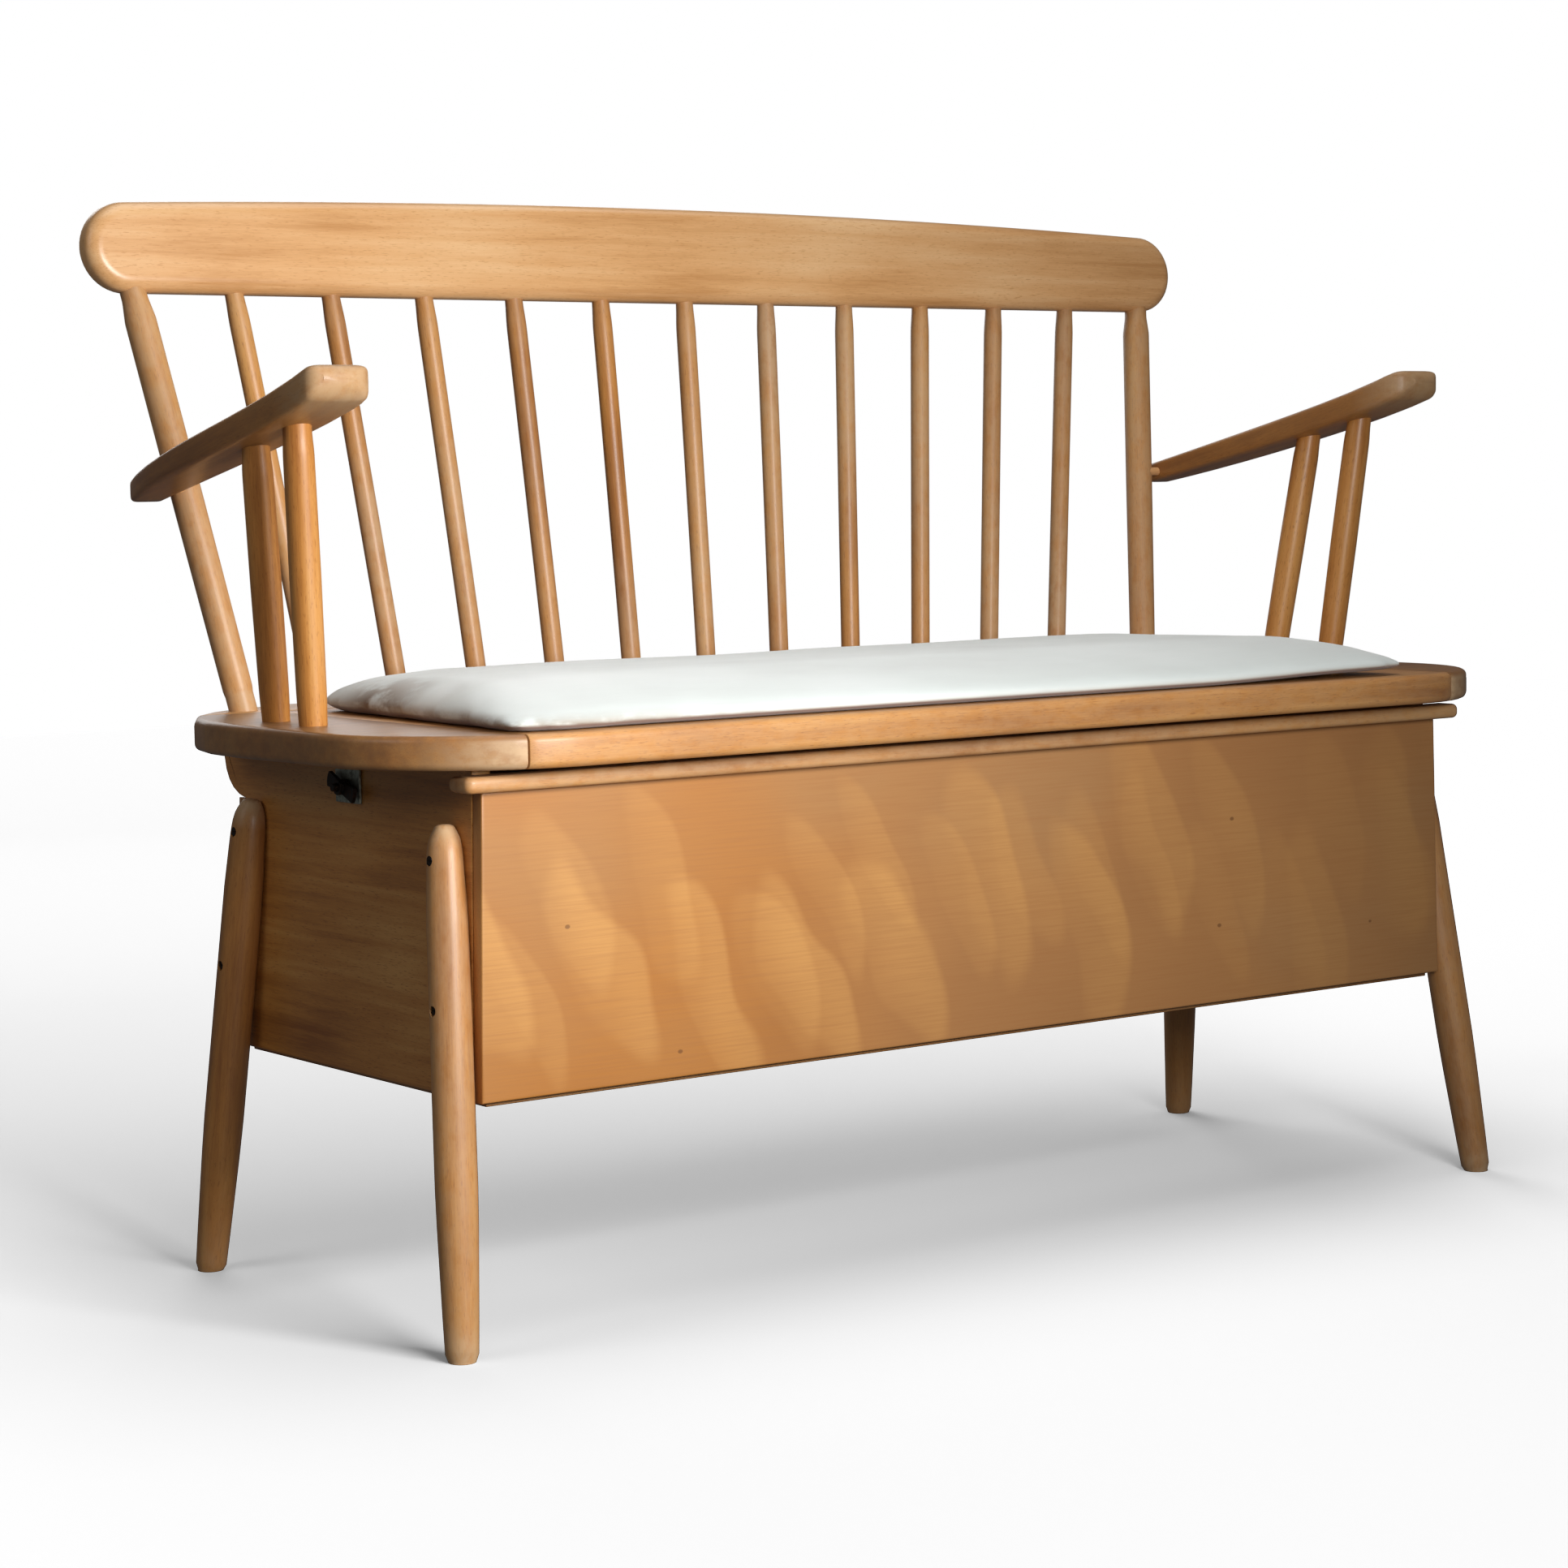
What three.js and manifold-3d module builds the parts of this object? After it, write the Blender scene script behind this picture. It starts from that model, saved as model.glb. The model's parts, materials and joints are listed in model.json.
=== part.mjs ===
// Entryway bench: a storage box on four splayed turned legs, with a hinged seat lid,
// a thin seat cushion, a spindle back and two paddle arms.
// Millimetres, +Z up. +X runs along the bench, -Y is the front that a sitter faces.
import * as THREE from 'three';
import { mergeVertices } from 'three/addons/utils/BufferGeometryUtils.js';
import Module from 'manifold-3d';

const wasm = await Module();
wasm.setup();

// ---- fits ----
const GAP = 0.3; // between any two fitted faces
const SOCKET_END = 0.8; // air left at the bottom of a blind socket
const OVERRUN = 2; // how far a cutting shape passes the face it cuts

// ---- seat ----
const SEAT_TOP = 445;
const SEAT_THICKNESS = 25;
const SEAT_HALF_LENGTH = 566;
const SEAT_FRONT = -222;
const SEAT_DEPTH = 476; // to the middle of the bowed rear edge
const SEAT_CORNER_RADIUS = 141; // front corners, in plan
const SEAT_EDGE_ROUNDING = 5;
const SEAT_REAR_BOW = 16; // how far the rear edge comes forward at the back posts
const REAR_CORNER_DEPTH = 200; // where a rear corner's curve starts, in front of the rear edge
const REAR_CORNER_LENGTH = 147; // where it ends, in from the seat's end
const REAR_CORNER_PULL = 90; // how far it first runs straight back
const REAR_SHOULDER = 40; // its second control point, in from both edges
const SEAT_END_WIDTH = 97; // from the lid's seam to the seat's end
const BACK_BOARD_DEPTH = 89; // rear board of the seat, front to rear at the middle
const LID_HINGE_GAP = 4.6; // between the lid's rear edge and the rear board
const LID_SIDE_GAP = 1.2; // between the lid's end and the seat end

// ---- cushion ----
const CUSHION_FRONT_INSET = 11; // each side, from the lid's ends
const CUSHION_REAR_INSET = 48;
const CUSHION_SHIFT = -24; // it lies off the middle of the lid
const CUSHION_FRONT_MARGIN = 13; // set back from the lid's front edge
const CUSHION_REAR_MARGIN = 12; // in front of the lid's rear edge
const CUSHION_CROWN = 31;
const CUSHION_RIM = 12; // height of the edge
const CUSHION_SHOULDER = 96; // how far in from the edge the crown rises
const CUSHION_CORNER_RADIUS = 34;

// ---- box ----
const BOX_HEIGHT = 241; // the upright panels, up to the seat
const BOX_END_INSET = 79; // side panels' outer faces, in from the seat's ends
const BOX_SPLAY = 5.5; // how much further out each side panel stands at its lower edge
const FRONT_OVERHANG = 57; // seat past the side panels' front edge
const REAR_OVERHANG = 76;
const SIDE_THICKNESS = 16;
const FACE_THICKNESS = 12; // front and back plywood
const BOTTOM_THICKNESS = 3.5;
const BOTTOM_INSET = 8;
const RAIL_HEIGHT = 12;
const RAIL_DEPTH = 25;
const RAIL_PAST_BOX = 19; // rail's ends past the side panels
const RAIL_TO_SEAT = 5; // shadow gap under the lid
const RAIL_ROUNDING = 4;
const EAR_REACH = 36; // how far the side panel's top flares to the rear
const EAR_HEIGHT = 43;
const EAR_FULLNESS = 5; // height of the flare's lowest stretch above its foot

// ---- legs ----
const LEG_FOOT_OUT = 31.5; // foot's centre, out from the side panel's lower edge
const LEG_TOP_OUT = 9; // top's centre, out from the side panel's upper edge
const FRONT_LEG = { footPast: 28, topInside: 25 }; // measured from the box's front edge
const REAR_LEG = { footPast: 15, topInside: 26 }; // measured from the box's rear edge
const LEG_TO_SEAT = 42; // leg's top below the seat
const LEG_RADIUS = 16.3;
const LEG_FOOT_RADIUS = 11.6;
const LEG_FOOT_ROUNDING = 1;
const LEG_SAW_ALLOWANCE = 3; // turned past the floor, then sawn off level
const SCREWS_ABOVE_BOX_BOTTOM = { lower: 68, upper: 174 };
const SCREW_HEAD_RADIUS = 3.6;
const SCREW_HEAD_THICKNESS = 2.2;
const SCREW_SLOT = 1; // width and depth of the head's slot
const SCREW_SHANK_RADIUS = 2;
const SCREW_RECESS = 5; // head's seat below the leg's outer surface
const SCREW_BITE = 10; // length held in the side panel

// ---- back ----
const BACK_HEIGHT = 331.5; // from the seat to the crest's lower edge
const CREST_END_HEIGHT = 71.5;
const CREST_RISE = 10.5; // extra height at the middle of the arched top
const CREST_PAST_SEAT = 7.5; // each end past the seat's
const CREST_THICKNESS = 28;
const CREST_ROUNDING = 9;
const CREST_LEAN = 5; // degrees
const CREST_SETBACK = 2.5; // middle of the crest's lower edge, behind the seat's rear edge
const SPINDLE_COUNT = 11;
const SPINDLE_FOOT_SQUEEZE = 4; // extra room between the outer spindles' feet and the posts
const SPINDLE_TOP_SQUEEZE = 1.4;
const SPINDLE_FOOT_INSET = 22; // spindles' feet, in from the rear edge
const SPINDLE_RADIUS = 8.5;
const SPINDLE_END_RADIUS = 7.5;
const SPINDLE_TENON = 14;
const POST_FOOT_PAST_LID = 11.5; // post's foot, outside the lid's seam
const POST_FOOT_INSET = 26; // post's foot, behind the rear board's front edge
const POST_SPREAD = 52.5; // how much further apart each post is at the crest
const POST_TOP_FORWARD = 1.5; // post's top, in front of the middle of the crest
const POST_RADIUS = 12.5;
const POST_FOOT_RADIUS = 11.2;
const POST_TOP_RADIUS = 10.4;
const POST_TENON = 17;
const POST_COLLAR = 15; // bare, slimmer length that shows above the seat

// ---- arms ----
const ARM_PAST_SEAT = 9; // outer edge at the front, past the seat's end
const ARM_TAPER = 22; // outer edge's step inward by the rear end
const ARM_INNER_REAR = 41; // inner edge at the rear, in from the seat's end
const ARM_INNER_FRONT = 46;
const ARM_SETBACK = 116; // front tip, behind the seat's front edge
const ARM_PAST_POST = 41; // rear end, behind the post's foot
const ARM_HEIGHT = 166; // underside at the rear, above the seat
const ARM_RISE = 74; // underside's climb from the rear to the front
const ARM_REAR_THICKNESS = 18;
const ARM_FRONT_THICKNESS = 26;
const ARM_INNER_ROUND = 24; // front corners, in plan
const ARM_OUTER_ROUND = 14;
const ARM_SHOULDER = 60; // length of the rear end's inward curve
const ARM_SPINDLE_TOPS = { front: 191, rear: 255.3 }; // behind the seat's front edge
const ARM_SPINDLE_FEET = { front: 213, rear: 279.6 };
const ARM_SPINDLE_TOP_INSET = 19.7; // in from the seat's end
const ARM_SPINDLE_FOOT_INSETS = { front: 38, rear: 43 };
const ARM_SPINDLE_RADIUS = 11.8;
const ARM_SPINDLE_END_RADIUS = 10.6;
const ARM_SPINDLE_TENON = 11;
const DOWEL_RADIUS = 4;
const DOWEL_BITE = 8; // into the post
const DOWEL_ARM_BITE = 16; // into the arm
const DOWEL_FORWARD = 8; // in front of the post's centre

// ---- hinges ----
const HINGE_X = 300;
const HINGE_LENGTH = 60;
const HINGE_LEAF_DEPTH = 19;
const HINGE_LEAF_THICKNESS = 1.4;
const HINGE_KNUCKLE_RADIUS = 3.2;
const HINGE_PIN_RADIUS = 1.5;
const HINGE_PIN_PLAY = 0.06; // radial running clearance
const KNUCKLES = 3;

// ---- brackets that hold the seat to the box ----
const BRACKET_OFFSET = 3.5; // behind the middle of the side panel
const BRACKET_WIDTH = 36;
const BRACKET_DROP = 36;
const BRACKET_REACH = 22;
const BRACKET_THICKNESS = 2;
const BOLT_RADIUS = 3;
const BOLT_DROP = 24; // bolt's height below the seat
const BOLT_HEAD_THICKNESS = 2.9;
const BOLT_PAST_NUT = 4;
const NUT_LENGTH = 9;
const WING_SPAN = 44;
const WING_HEIGHT = 12;
const WING_ROOT = 7;
const WING_THICKNESS = 3;
const WING_TILT = 0.3; // radians, from level

// ---- values that follow from the ones above ----
const SEAT_REAR = SEAT_FRONT + SEAT_DEPTH;
const SEAT_UNDER = SEAT_TOP - SEAT_THICKNESS;
const LID_HALF_LENGTH = SEAT_HALF_LENGTH - SEAT_END_WIDTH;
const BACK_BOARD_FRONT = SEAT_REAR - BACK_BOARD_DEPTH;
const LID_REAR = BACK_BOARD_FRONT - LID_HINGE_GAP;
const BOX_HALF_TOP = SEAT_HALF_LENGTH - BOX_END_INSET;
const BOX_HALF_BOTTOM = BOX_HALF_TOP + BOX_SPLAY;
const BOX_BOTTOM = SEAT_UNDER - BOX_HEIGHT;
const BOX_FRONT = SEAT_FRONT + FRONT_OVERHANG;
const BOX_REAR = SEAT_REAR - REAR_OVERHANG;
const PANEL_TOP = SEAT_UNDER - GAP;
const SIDE_TILT = Math.atan2(BOX_SPLAY, PANEL_TOP - BOX_BOTTOM);
const RAIL_TOP = SEAT_UNDER - RAIL_TO_SEAT;
const RAIL_HALF_LENGTH = BOX_HALF_TOP + RAIL_PAST_BOX;
const LEG_HEIGHT = SEAT_UNDER - LEG_TO_SEAT;
const CREST_BOTTOM = SEAT_TOP + BACK_HEIGHT;
const CREST_FOOT_Y = SEAT_REAR + CREST_SETBACK;
const CREST_HALF_LENGTH = SEAT_HALF_LENGTH + CREST_PAST_SEAT;
const POST_FOOT_X = LID_HALF_LENGTH + POST_FOOT_PAST_LID;
const POST_FOOT_Y = BACK_BOARD_FRONT + POST_FOOT_INSET;
const POST_TOP_X = POST_FOOT_X + POST_SPREAD;
const ARM_FRONT = SEAT_FRONT + ARM_SETBACK;
const ARM_REAR = POST_FOOT_Y + ARM_PAST_POST;
const HINGE_Z = SEAT_TOP + HINGE_KNUCKLE_RADIUS + GAP;
const HINGE_Y = BACK_BOARD_FRONT - LID_HINGE_GAP / 2;
const BRACKET_Y = (BOX_FRONT + BOX_REAR) / 2 + BRACKET_OFFSET;
const BOLT_Z = SEAT_UNDER - BOLT_DROP;

// ---- colours ----
const WOOD = { color: 0xc08a4e, roughness: 0.42, metalness: 0 };
const WOOD_PALE = { color: 0xd9a564, roughness: 0.4, metalness: 0 };
const PLYWOOD = { color: 0xbf8646, roughness: 0.45, metalness: 0 };
const FABRIC = { color: 0xd9e0db, roughness: 0.95, metalness: 0 };
const BRASS = { color: 0xa8894e, roughness: 0.35, metalness: 1 };
const DARK_STEEL = { color: 0x2a2623, roughness: 0.5, metalness: 0.9 };
const ZINC = { color: 0xc9ccc8, roughness: 0.35, metalness: 1 };

const bench = new THREE.Group();
const frame = new THREE.Group();
const lid = new THREE.Group();
bench.add(frame, lid);

const v3 = (x, y, z) => new THREE.Vector3(x, y, z);
const SIDES = [['left', -1], ['right', 1]];

function add(group, name, geometry, finish) {
  const mesh = new THREE.Mesh(geometry, new THREE.MeshStandardMaterial(finish));
  mesh.name = name;
  group.add(mesh);
  return mesh;
}

// ---- solids: cutting and joining ----
function solid(geometry) {
  const bare = geometry.index ? geometry.toNonIndexed() : geometry.clone();
  bare.deleteAttribute('normal');
  bare.deleteAttribute('uv');
  const merged = mergeVertices(bare, 1e-3);
  const corners = merged.index.array;
  const triangles = [];
  for (let i = 0; i < corners.length; i += 3) {
    const [a, b, c] = corners.slice(i, i + 3);
    if (a !== b && b !== c && c !== a) triangles.push(a, b, c);
  }
  return new wasm.Manifold(new wasm.Mesh({
    numProp: 3,
    vertProperties: new Float32Array(merged.attributes.position.array),
    triVerts: new Uint32Array(triangles),
  }));
}

function surface(manifold) {
  const mesh = manifold.getMesh();
  const geometry = new THREE.BufferGeometry();
  geometry.setAttribute('position', new THREE.BufferAttribute(mesh.vertProperties, 3));
  geometry.setIndex(new THREE.BufferAttribute(mesh.triVerts, 1));
  geometry.computeVertexNormals();
  return geometry;
}

function cut(geometry, tools) {
  return surface(tools.reduce((body, tool) => body.subtract(solid(tool)), solid(geometry)));
}

function join(...geometries) {
  return surface(geometries.map(solid).reduce((body, other) => body.add(other)));
}

// ---- basic shapes ----
function block(x0, x1, y0, y1, z0, z1) {
  const geometry = new THREE.BoxGeometry(x1 - x0, y1 - y0, z1 - z0);
  return geometry.translate((x0 + x1) / 2, (y0 + y1) / 2, (z0 + z1) / 2);
}

// Matrix that lays the local Y axis along the line from one point to another.
function along(from, to) {
  const turn = new THREE.Quaternion();
  turn.setFromUnitVectors(v3(0, 1, 0), to.clone().sub(from).normalize());
  return new THREE.Matrix4().compose(from, turn, v3(1, 1, 1));
}

function rod(from, to, radius, segments = 16) {
  const length = from.distanceTo(to);
  const geometry = new THREE.CylinderGeometry(radius, radius, length, segments);
  return geometry.translate(0, length / 2, 0).applyMatrix4(along(from, to));
}

// A turned piece from [distance along the axis, radius] pairs, closed on its axis.
function turned(profile, segments) {
  const first = profile[0][0];
  const last = profile[profile.length - 1][0];
  const points = [[first, 0], ...profile, [last, 0]].map(([y, r]) => new THREE.Vector2(r, y));
  return new THREE.LatheGeometry(points, segments);
}

// Extrudes an outline drawn in the XY plane from z0 to z1, with rounded edges.
function slab(shape, z0, z1, rounding = 0, curveSegments = 8) {
  const geometry = new THREE.ExtrudeGeometry(shape, {
    depth: z1 - z0 - 2 * rounding,
    bevelEnabled: rounding > 0,
    bevelThickness: rounding,
    bevelSize: rounding,
    bevelOffset: -rounding,
    bevelSegments: 2,
    curveSegments,
  });
  return geometry.translate(0, 0, z0 + rounding);
}

// Mirrors a closed geometry across the YZ plane and keeps its faces pointing out.
function mirrored(geometry, side) {
  if (side > 0) return geometry;
  const flipped = geometry.index ? geometry.toNonIndexed() : geometry.clone();
  flipped.scale(-1, 1, 1);
  const position = flipped.attributes.position;
  for (let i = 0; i < position.count; i += 3) {
    const a = v3().fromBufferAttribute(position, i + 1);
    const b = v3().fromBufferAttribute(position, i + 2);
    position.setXYZ(i + 1, b.x, b.y, b.z);
    position.setXYZ(i + 2, a.x, a.y, a.z);
  }
  flipped.computeVertexNormals();
  return flipped;
}

// ---- points shared by the seat, the back and the arms ----
const rearEdge = (x) => SEAT_REAR - SEAT_REAR_BOW * (x / POST_FOOT_X) ** 2;

function line(from, to) {
  const direction = to.clone().sub(from).normalize();
  return { from, to, direction, length: from.distanceTo(to) };
}

const crestLean = THREE.MathUtils.degToRad(CREST_LEAN);
const spindles = [];
for (let i = 0; i < SPINDLE_COUNT; i += 1) {
  const share = (2 * (i + 1)) / (SPINDLE_COUNT + 1) - 1;
  const footX = share * (POST_FOOT_X - SPINDLE_FOOT_SQUEEZE);
  const topX = share * (POST_TOP_X - SPINDLE_TOP_SQUEEZE);
  spindles.push(line(
    v3(footX, rearEdge(footX) - SPINDLE_FOOT_INSET, SEAT_TOP),
    v3(topX, CREST_FOOT_Y, CREST_BOTTOM),
  ));
}
const post = line(
  v3(POST_FOOT_X, POST_FOOT_Y, SEAT_TOP),
  v3(POST_TOP_X, CREST_FOOT_Y - POST_TOP_FORWARD, CREST_BOTTOM),
);

// An arm climbs evenly towards the front, a little faster at the tip, and thickens on the way.
const armShare = (y) => (ARM_REAR - y) / (ARM_REAR - ARM_FRONT);

function armUnderside(y) {
  const t = armShare(y);
  return SEAT_TOP + ARM_HEIGHT + ARM_RISE * (0.9 * t + 0.1 * t ** 6);
}

function armTop(y) {
  return armUnderside(y) + THREE.MathUtils.lerp(ARM_REAR_THICKNESS, ARM_FRONT_THICKNESS, armShare(y));
}

const armSpindles = Object.fromEntries(['front', 'rear'].map((place) => {
  const footX = SEAT_HALF_LENGTH - ARM_SPINDLE_FOOT_INSETS[place];
  const topX = SEAT_HALF_LENGTH - ARM_SPINDLE_TOP_INSET;
  const topY = SEAT_FRONT + ARM_SPINDLE_TOPS[place];
  const foot = v3(footX, SEAT_FRONT + ARM_SPINDLE_FEET[place], SEAT_TOP);
  return [place, line(foot, v3(topX, topY, armUnderside(topY)))];
}));

// The socket that a turned piece's tenon drops into, cut past the face by some overrun.
function socket(piece, end, radius, depth) {
  const outward = end === 'foot' ? -1 : 1;
  const mouth = end === 'foot' ? piece.from : piece.to;
  const start = mouth.clone().addScaledVector(piece.direction, -outward * SEAT_THICKNESS);
  const stop = mouth.clone().addScaledVector(piece.direction, outward * (depth + SOCKET_END));
  return rod(start, stop, radius + GAP, 16);
}

// ---- seat ----
// The whole seat with its shaped outline, before it is sawn into its boards.
function seatBlank() {
  const cornerX = SEAT_HALF_LENGTH - SEAT_CORNER_RADIUS;
  const cornerY = SEAT_FRONT + SEAT_CORNER_RADIUS;
  const sideEnd = SEAT_REAR - REAR_CORNER_DEPTH;
  const rearX = SEAT_HALF_LENGTH - REAR_CORNER_LENGTH;
  const pull = sideEnd + REAR_CORNER_PULL;
  const shoulderX = SEAT_HALF_LENGTH - REAR_SHOULDER;
  const shoulderY = SEAT_REAR - REAR_SHOULDER;
  const outline = new THREE.Shape();
  outline.moveTo(-cornerX, SEAT_FRONT);
  outline.lineTo(cornerX, SEAT_FRONT);
  outline.absarc(cornerX, cornerY, SEAT_CORNER_RADIUS, -Math.PI / 2, 0);
  outline.lineTo(SEAT_HALF_LENGTH, sideEnd);
  outline.bezierCurveTo(SEAT_HALF_LENGTH, pull, shoulderX, shoulderY, rearX, rearEdge(rearX));
  const steps = 10;
  for (let i = 1; i <= steps; i += 1) {
    const x = rearX * (1 - (2 * i) / steps);
    outline.lineTo(x, rearEdge(x));
  }
  outline.bezierCurveTo(-shoulderX, shoulderY, -SEAT_HALF_LENGTH, pull, -SEAT_HALF_LENGTH, sideEnd);
  outline.lineTo(-SEAT_HALF_LENGTH, cornerY);
  outline.absarc(-cornerX, cornerY, SEAT_CORNER_RADIUS, Math.PI, 1.5 * Math.PI);
  return slab(outline, SEAT_UNDER, SEAT_TOP, SEAT_EDGE_ROUNDING, 6);
}

// One board of the seat: the part of the blank between two x and two y values.
function seatBoard(x0, x1, y0, y1, sockets = []) {
  const keep = block(x0, x1, y0, y1, SEAT_UNDER - OVERRUN, SEAT_TOP + OVERRUN);
  return cut(surface(solid(seatBlank()).intersect(solid(keep))), sockets);
}

function seatEnd() {
  const inside = LID_HALF_LENGTH + LID_SIDE_GAP;
  const rear = BACK_BOARD_FRONT - GAP;
  const sockets = Object.values(armSpindles).map((piece) => (
    socket(piece, 'foot', ARM_SPINDLE_END_RADIUS, ARM_SPINDLE_TENON)));
  return seatBoard(inside, SEAT_HALF_LENGTH + OVERRUN, SEAT_FRONT - OVERRUN, rear, sockets);
}

function backBoard() {
  const wide = SEAT_HALF_LENGTH + OVERRUN;
  const sockets = spindles.map((piece) => socket(piece, 'foot', SPINDLE_END_RADIUS, SPINDLE_TENON));
  SIDES.forEach(([, side]) => {
    sockets.push(mirrored(socket(post, 'foot', POST_FOOT_RADIUS, POST_TENON), side));
  });
  return seatBoard(-wide, wide, BACK_BOARD_FRONT, SEAT_REAR + OVERRUN, sockets);
}

function seatLid() {
  return seatBoard(-LID_HALF_LENGTH, LID_HALF_LENGTH, SEAT_FRONT - OVERRUN, LID_REAR);
}

// Extrudes an outline drawn as (y, z) from x0 to x1.
function extrudedAlongX(section, x0, x1, curveSegments = 6) {
  const geometry = new THREE.ExtrudeGeometry(section, {
    depth: x1 - x0,
    bevelEnabled: false,
    curveSegments,
  });
  const axes = new THREE.Matrix4().makeBasis(v3(0, 1, 0), v3(0, 0, 1), v3(1, 0, 0));
  return geometry.applyMatrix4(axes).translate(x0, 0, 0);
}

// A flat-bottomed pad: a grid laid over its outline, raised from the rim to the crown.
function cushion() {
  const front = SEAT_FRONT + CUSHION_FRONT_MARGIN;
  const rear = LID_REAR - CUSHION_REAR_MARGIN;
  const halfDepth = (rear - front) / 2;
  const round = CUSHION_CORNER_RADIUS;
  const frontHalf = LID_HALF_LENGTH - CUSHION_FRONT_INSET;
  const rearHalf = LID_HALF_LENGTH - CUSHION_REAR_INSET;
  const grid = new THREE.BoxGeometry(2, 2, 1, 14, 8, 1);
  const position = grid.attributes.position;
  const spread = (t) => Math.sin((Math.PI / 2) * t);
  const rise = (inward) => Math.sqrt(1 - (1 - Math.min(inward / CUSHION_SHOULDER, 1)) ** 2);
  for (let i = 0; i < position.count; i += 1) {
    const v = spread(position.getY(i));
    const halfWidth = THREE.MathUtils.lerp(frontHalf, rearHalf, (v + 1) / 2);
    let x = spread(position.getX(i)) * halfWidth;
    let y = v * halfDepth;
    const crown = rise(halfWidth - Math.abs(x)) * rise(halfDepth - Math.abs(y));
    const cornerX = Math.abs(x) - (halfWidth - round);
    const cornerY = Math.abs(y) - (halfDepth - round);
    if (cornerX > 0 && cornerY > 0) {
      const scale = Math.max(cornerX, cornerY) / Math.hypot(cornerX, cornerY);
      x = Math.sign(x) * (halfWidth - round + cornerX * scale);
      y = Math.sign(y) * (halfDepth - round + cornerY * scale);
    }
    const height = CUSHION_RIM + (CUSHION_CROWN - CUSHION_RIM) * crown;
    const z = SEAT_TOP + GAP + (position.getZ(i) > 0 ? height : 0);
    position.setXYZ(i, x + CUSHION_SHIFT, y + (front + rear) / 2, z);
  }
  return grid;
}

// ---- box ----
function leaned(geometry, side) {
  const pivot = v3(side * BOX_HALF_BOTTOM, 0, BOX_BOTTOM);
  geometry.translate(-pivot.x, -pivot.y, -pivot.z);
  geometry.rotateY(-side * SIDE_TILT);
  return geometry.translate(pivot.x, pivot.y, pivot.z);
}

// Drawn a little too tall, because the panel is trimmed level after it is leaned.
function sidePanelOutline() {
  const outline = new THREE.Shape();
  const earFoot = PANEL_TOP - EAR_HEIGHT;
  const earY = BOX_REAR + EAR_REACH;
  outline.moveTo(BOX_FRONT, BOX_BOTTOM - OVERRUN);
  outline.lineTo(BOX_REAR, BOX_BOTTOM - OVERRUN);
  outline.lineTo(BOX_REAR, earFoot);
  outline.quadraticCurveTo(earY, earFoot + EAR_FULLNESS, earY, PANEL_TOP);
  outline.lineTo(earY, PANEL_TOP + OVERRUN);
  outline.lineTo(BOX_FRONT, PANEL_TOP + OVERRUN);
  return outline;
}

// A symmetric upright sheet, from its right-hand corners listed from the bottom up.
function boxPlate(corners, y0, y1) {
  const mirror = corners.map(([x, z]) => [-x, z]).reverse();
  const outline = new THREE.Shape([...corners, ...mirror].map(([x, z]) => new THREE.Vector2(x, z)));
  const geometry = new THREE.ExtrudeGeometry(outline, { depth: y1 - y0, bevelEnabled: false });
  return geometry.rotateX(Math.PI / 2).translate(0, y1, 0);
}

function frontPanel() {
  const top = RAIL_TOP - RAIL_HEIGHT - GAP;
  const corners = [[BOX_HALF_BOTTOM, BOX_BOTTOM], [BOX_HALF_TOP, top]];
  return boxPlate(corners, BOX_FRONT - GAP - FACE_THICKNESS, BOX_FRONT - GAP);
}

// It covers the side panels' rear edges up to their flares, and stands between the flares above.
function backPanel() {
  const shoulder = PANEL_TOP - EAR_HEIGHT - GAP;
  const between = BOX_HALF_TOP - SIDE_THICKNESS - GAP;
  const corners = [
    [BOX_HALF_BOTTOM, BOX_BOTTOM], [BOX_HALF_TOP, shoulder], [between, shoulder], [between, PANEL_TOP],
  ];
  return boxPlate(corners, BOX_REAR + GAP, BOX_REAR + GAP + FACE_THICKNESS);
}

function frontRail() {
  const r = RAIL_HEIGHT / 2;
  const front = BOX_FRONT - GAP - RAIL_DEPTH;
  const outline = new THREE.Shape();
  outline.moveTo(-RAIL_HALF_LENGTH, BOX_FRONT - GAP);
  outline.lineTo(-RAIL_HALF_LENGTH, front + r);
  outline.absarc(-RAIL_HALF_LENGTH + r, front + r, r, Math.PI, 1.5 * Math.PI);
  outline.lineTo(RAIL_HALF_LENGTH - r, front);
  outline.absarc(RAIL_HALF_LENGTH - r, front + r, r, -Math.PI / 2, 0);
  outline.lineTo(RAIL_HALF_LENGTH, BOX_FRONT - GAP);
  return slab(outline, RAIL_TOP - RAIL_HEIGHT, RAIL_TOP, RAIL_ROUNDING, 3);
}

// ---- legs and their screws ----
function legLine(side, end) {
  const [edge, place] = end < 0 ? [BOX_FRONT, FRONT_LEG] : [BOX_REAR, REAR_LEG];
  return line(
    v3(side * (BOX_HALF_BOTTOM + LEG_FOOT_OUT), edge + end * place.footPast, 0),
    v3(side * (BOX_HALF_TOP + LEG_TOP_OUT), edge - end * place.topInside, LEG_HEIGHT),
  );
}

// A slim foot, the fullest part two thirds of the way up and a domed top.
function legProfile(length) {
  const belly = [
    [0.07, 0.77], [0.25, 0.9], [0.45, 0.985], [0.62, 1], [0.8, 0.95], [0.93, 0.87], [0.965, 0.8],
    [0.985, 0.63], [1, 0.3],
  ].map(([share, r]) => [share * length, r * LEG_RADIUS]);
  const foot = [-LEG_SAW_ALLOWANCE, LEG_FOOT_RADIUS - LEG_FOOT_ROUNDING];
  return [foot, [LEG_SAW_ALLOWANCE, LEG_FOOT_RADIUS], ...belly];
}

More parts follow.
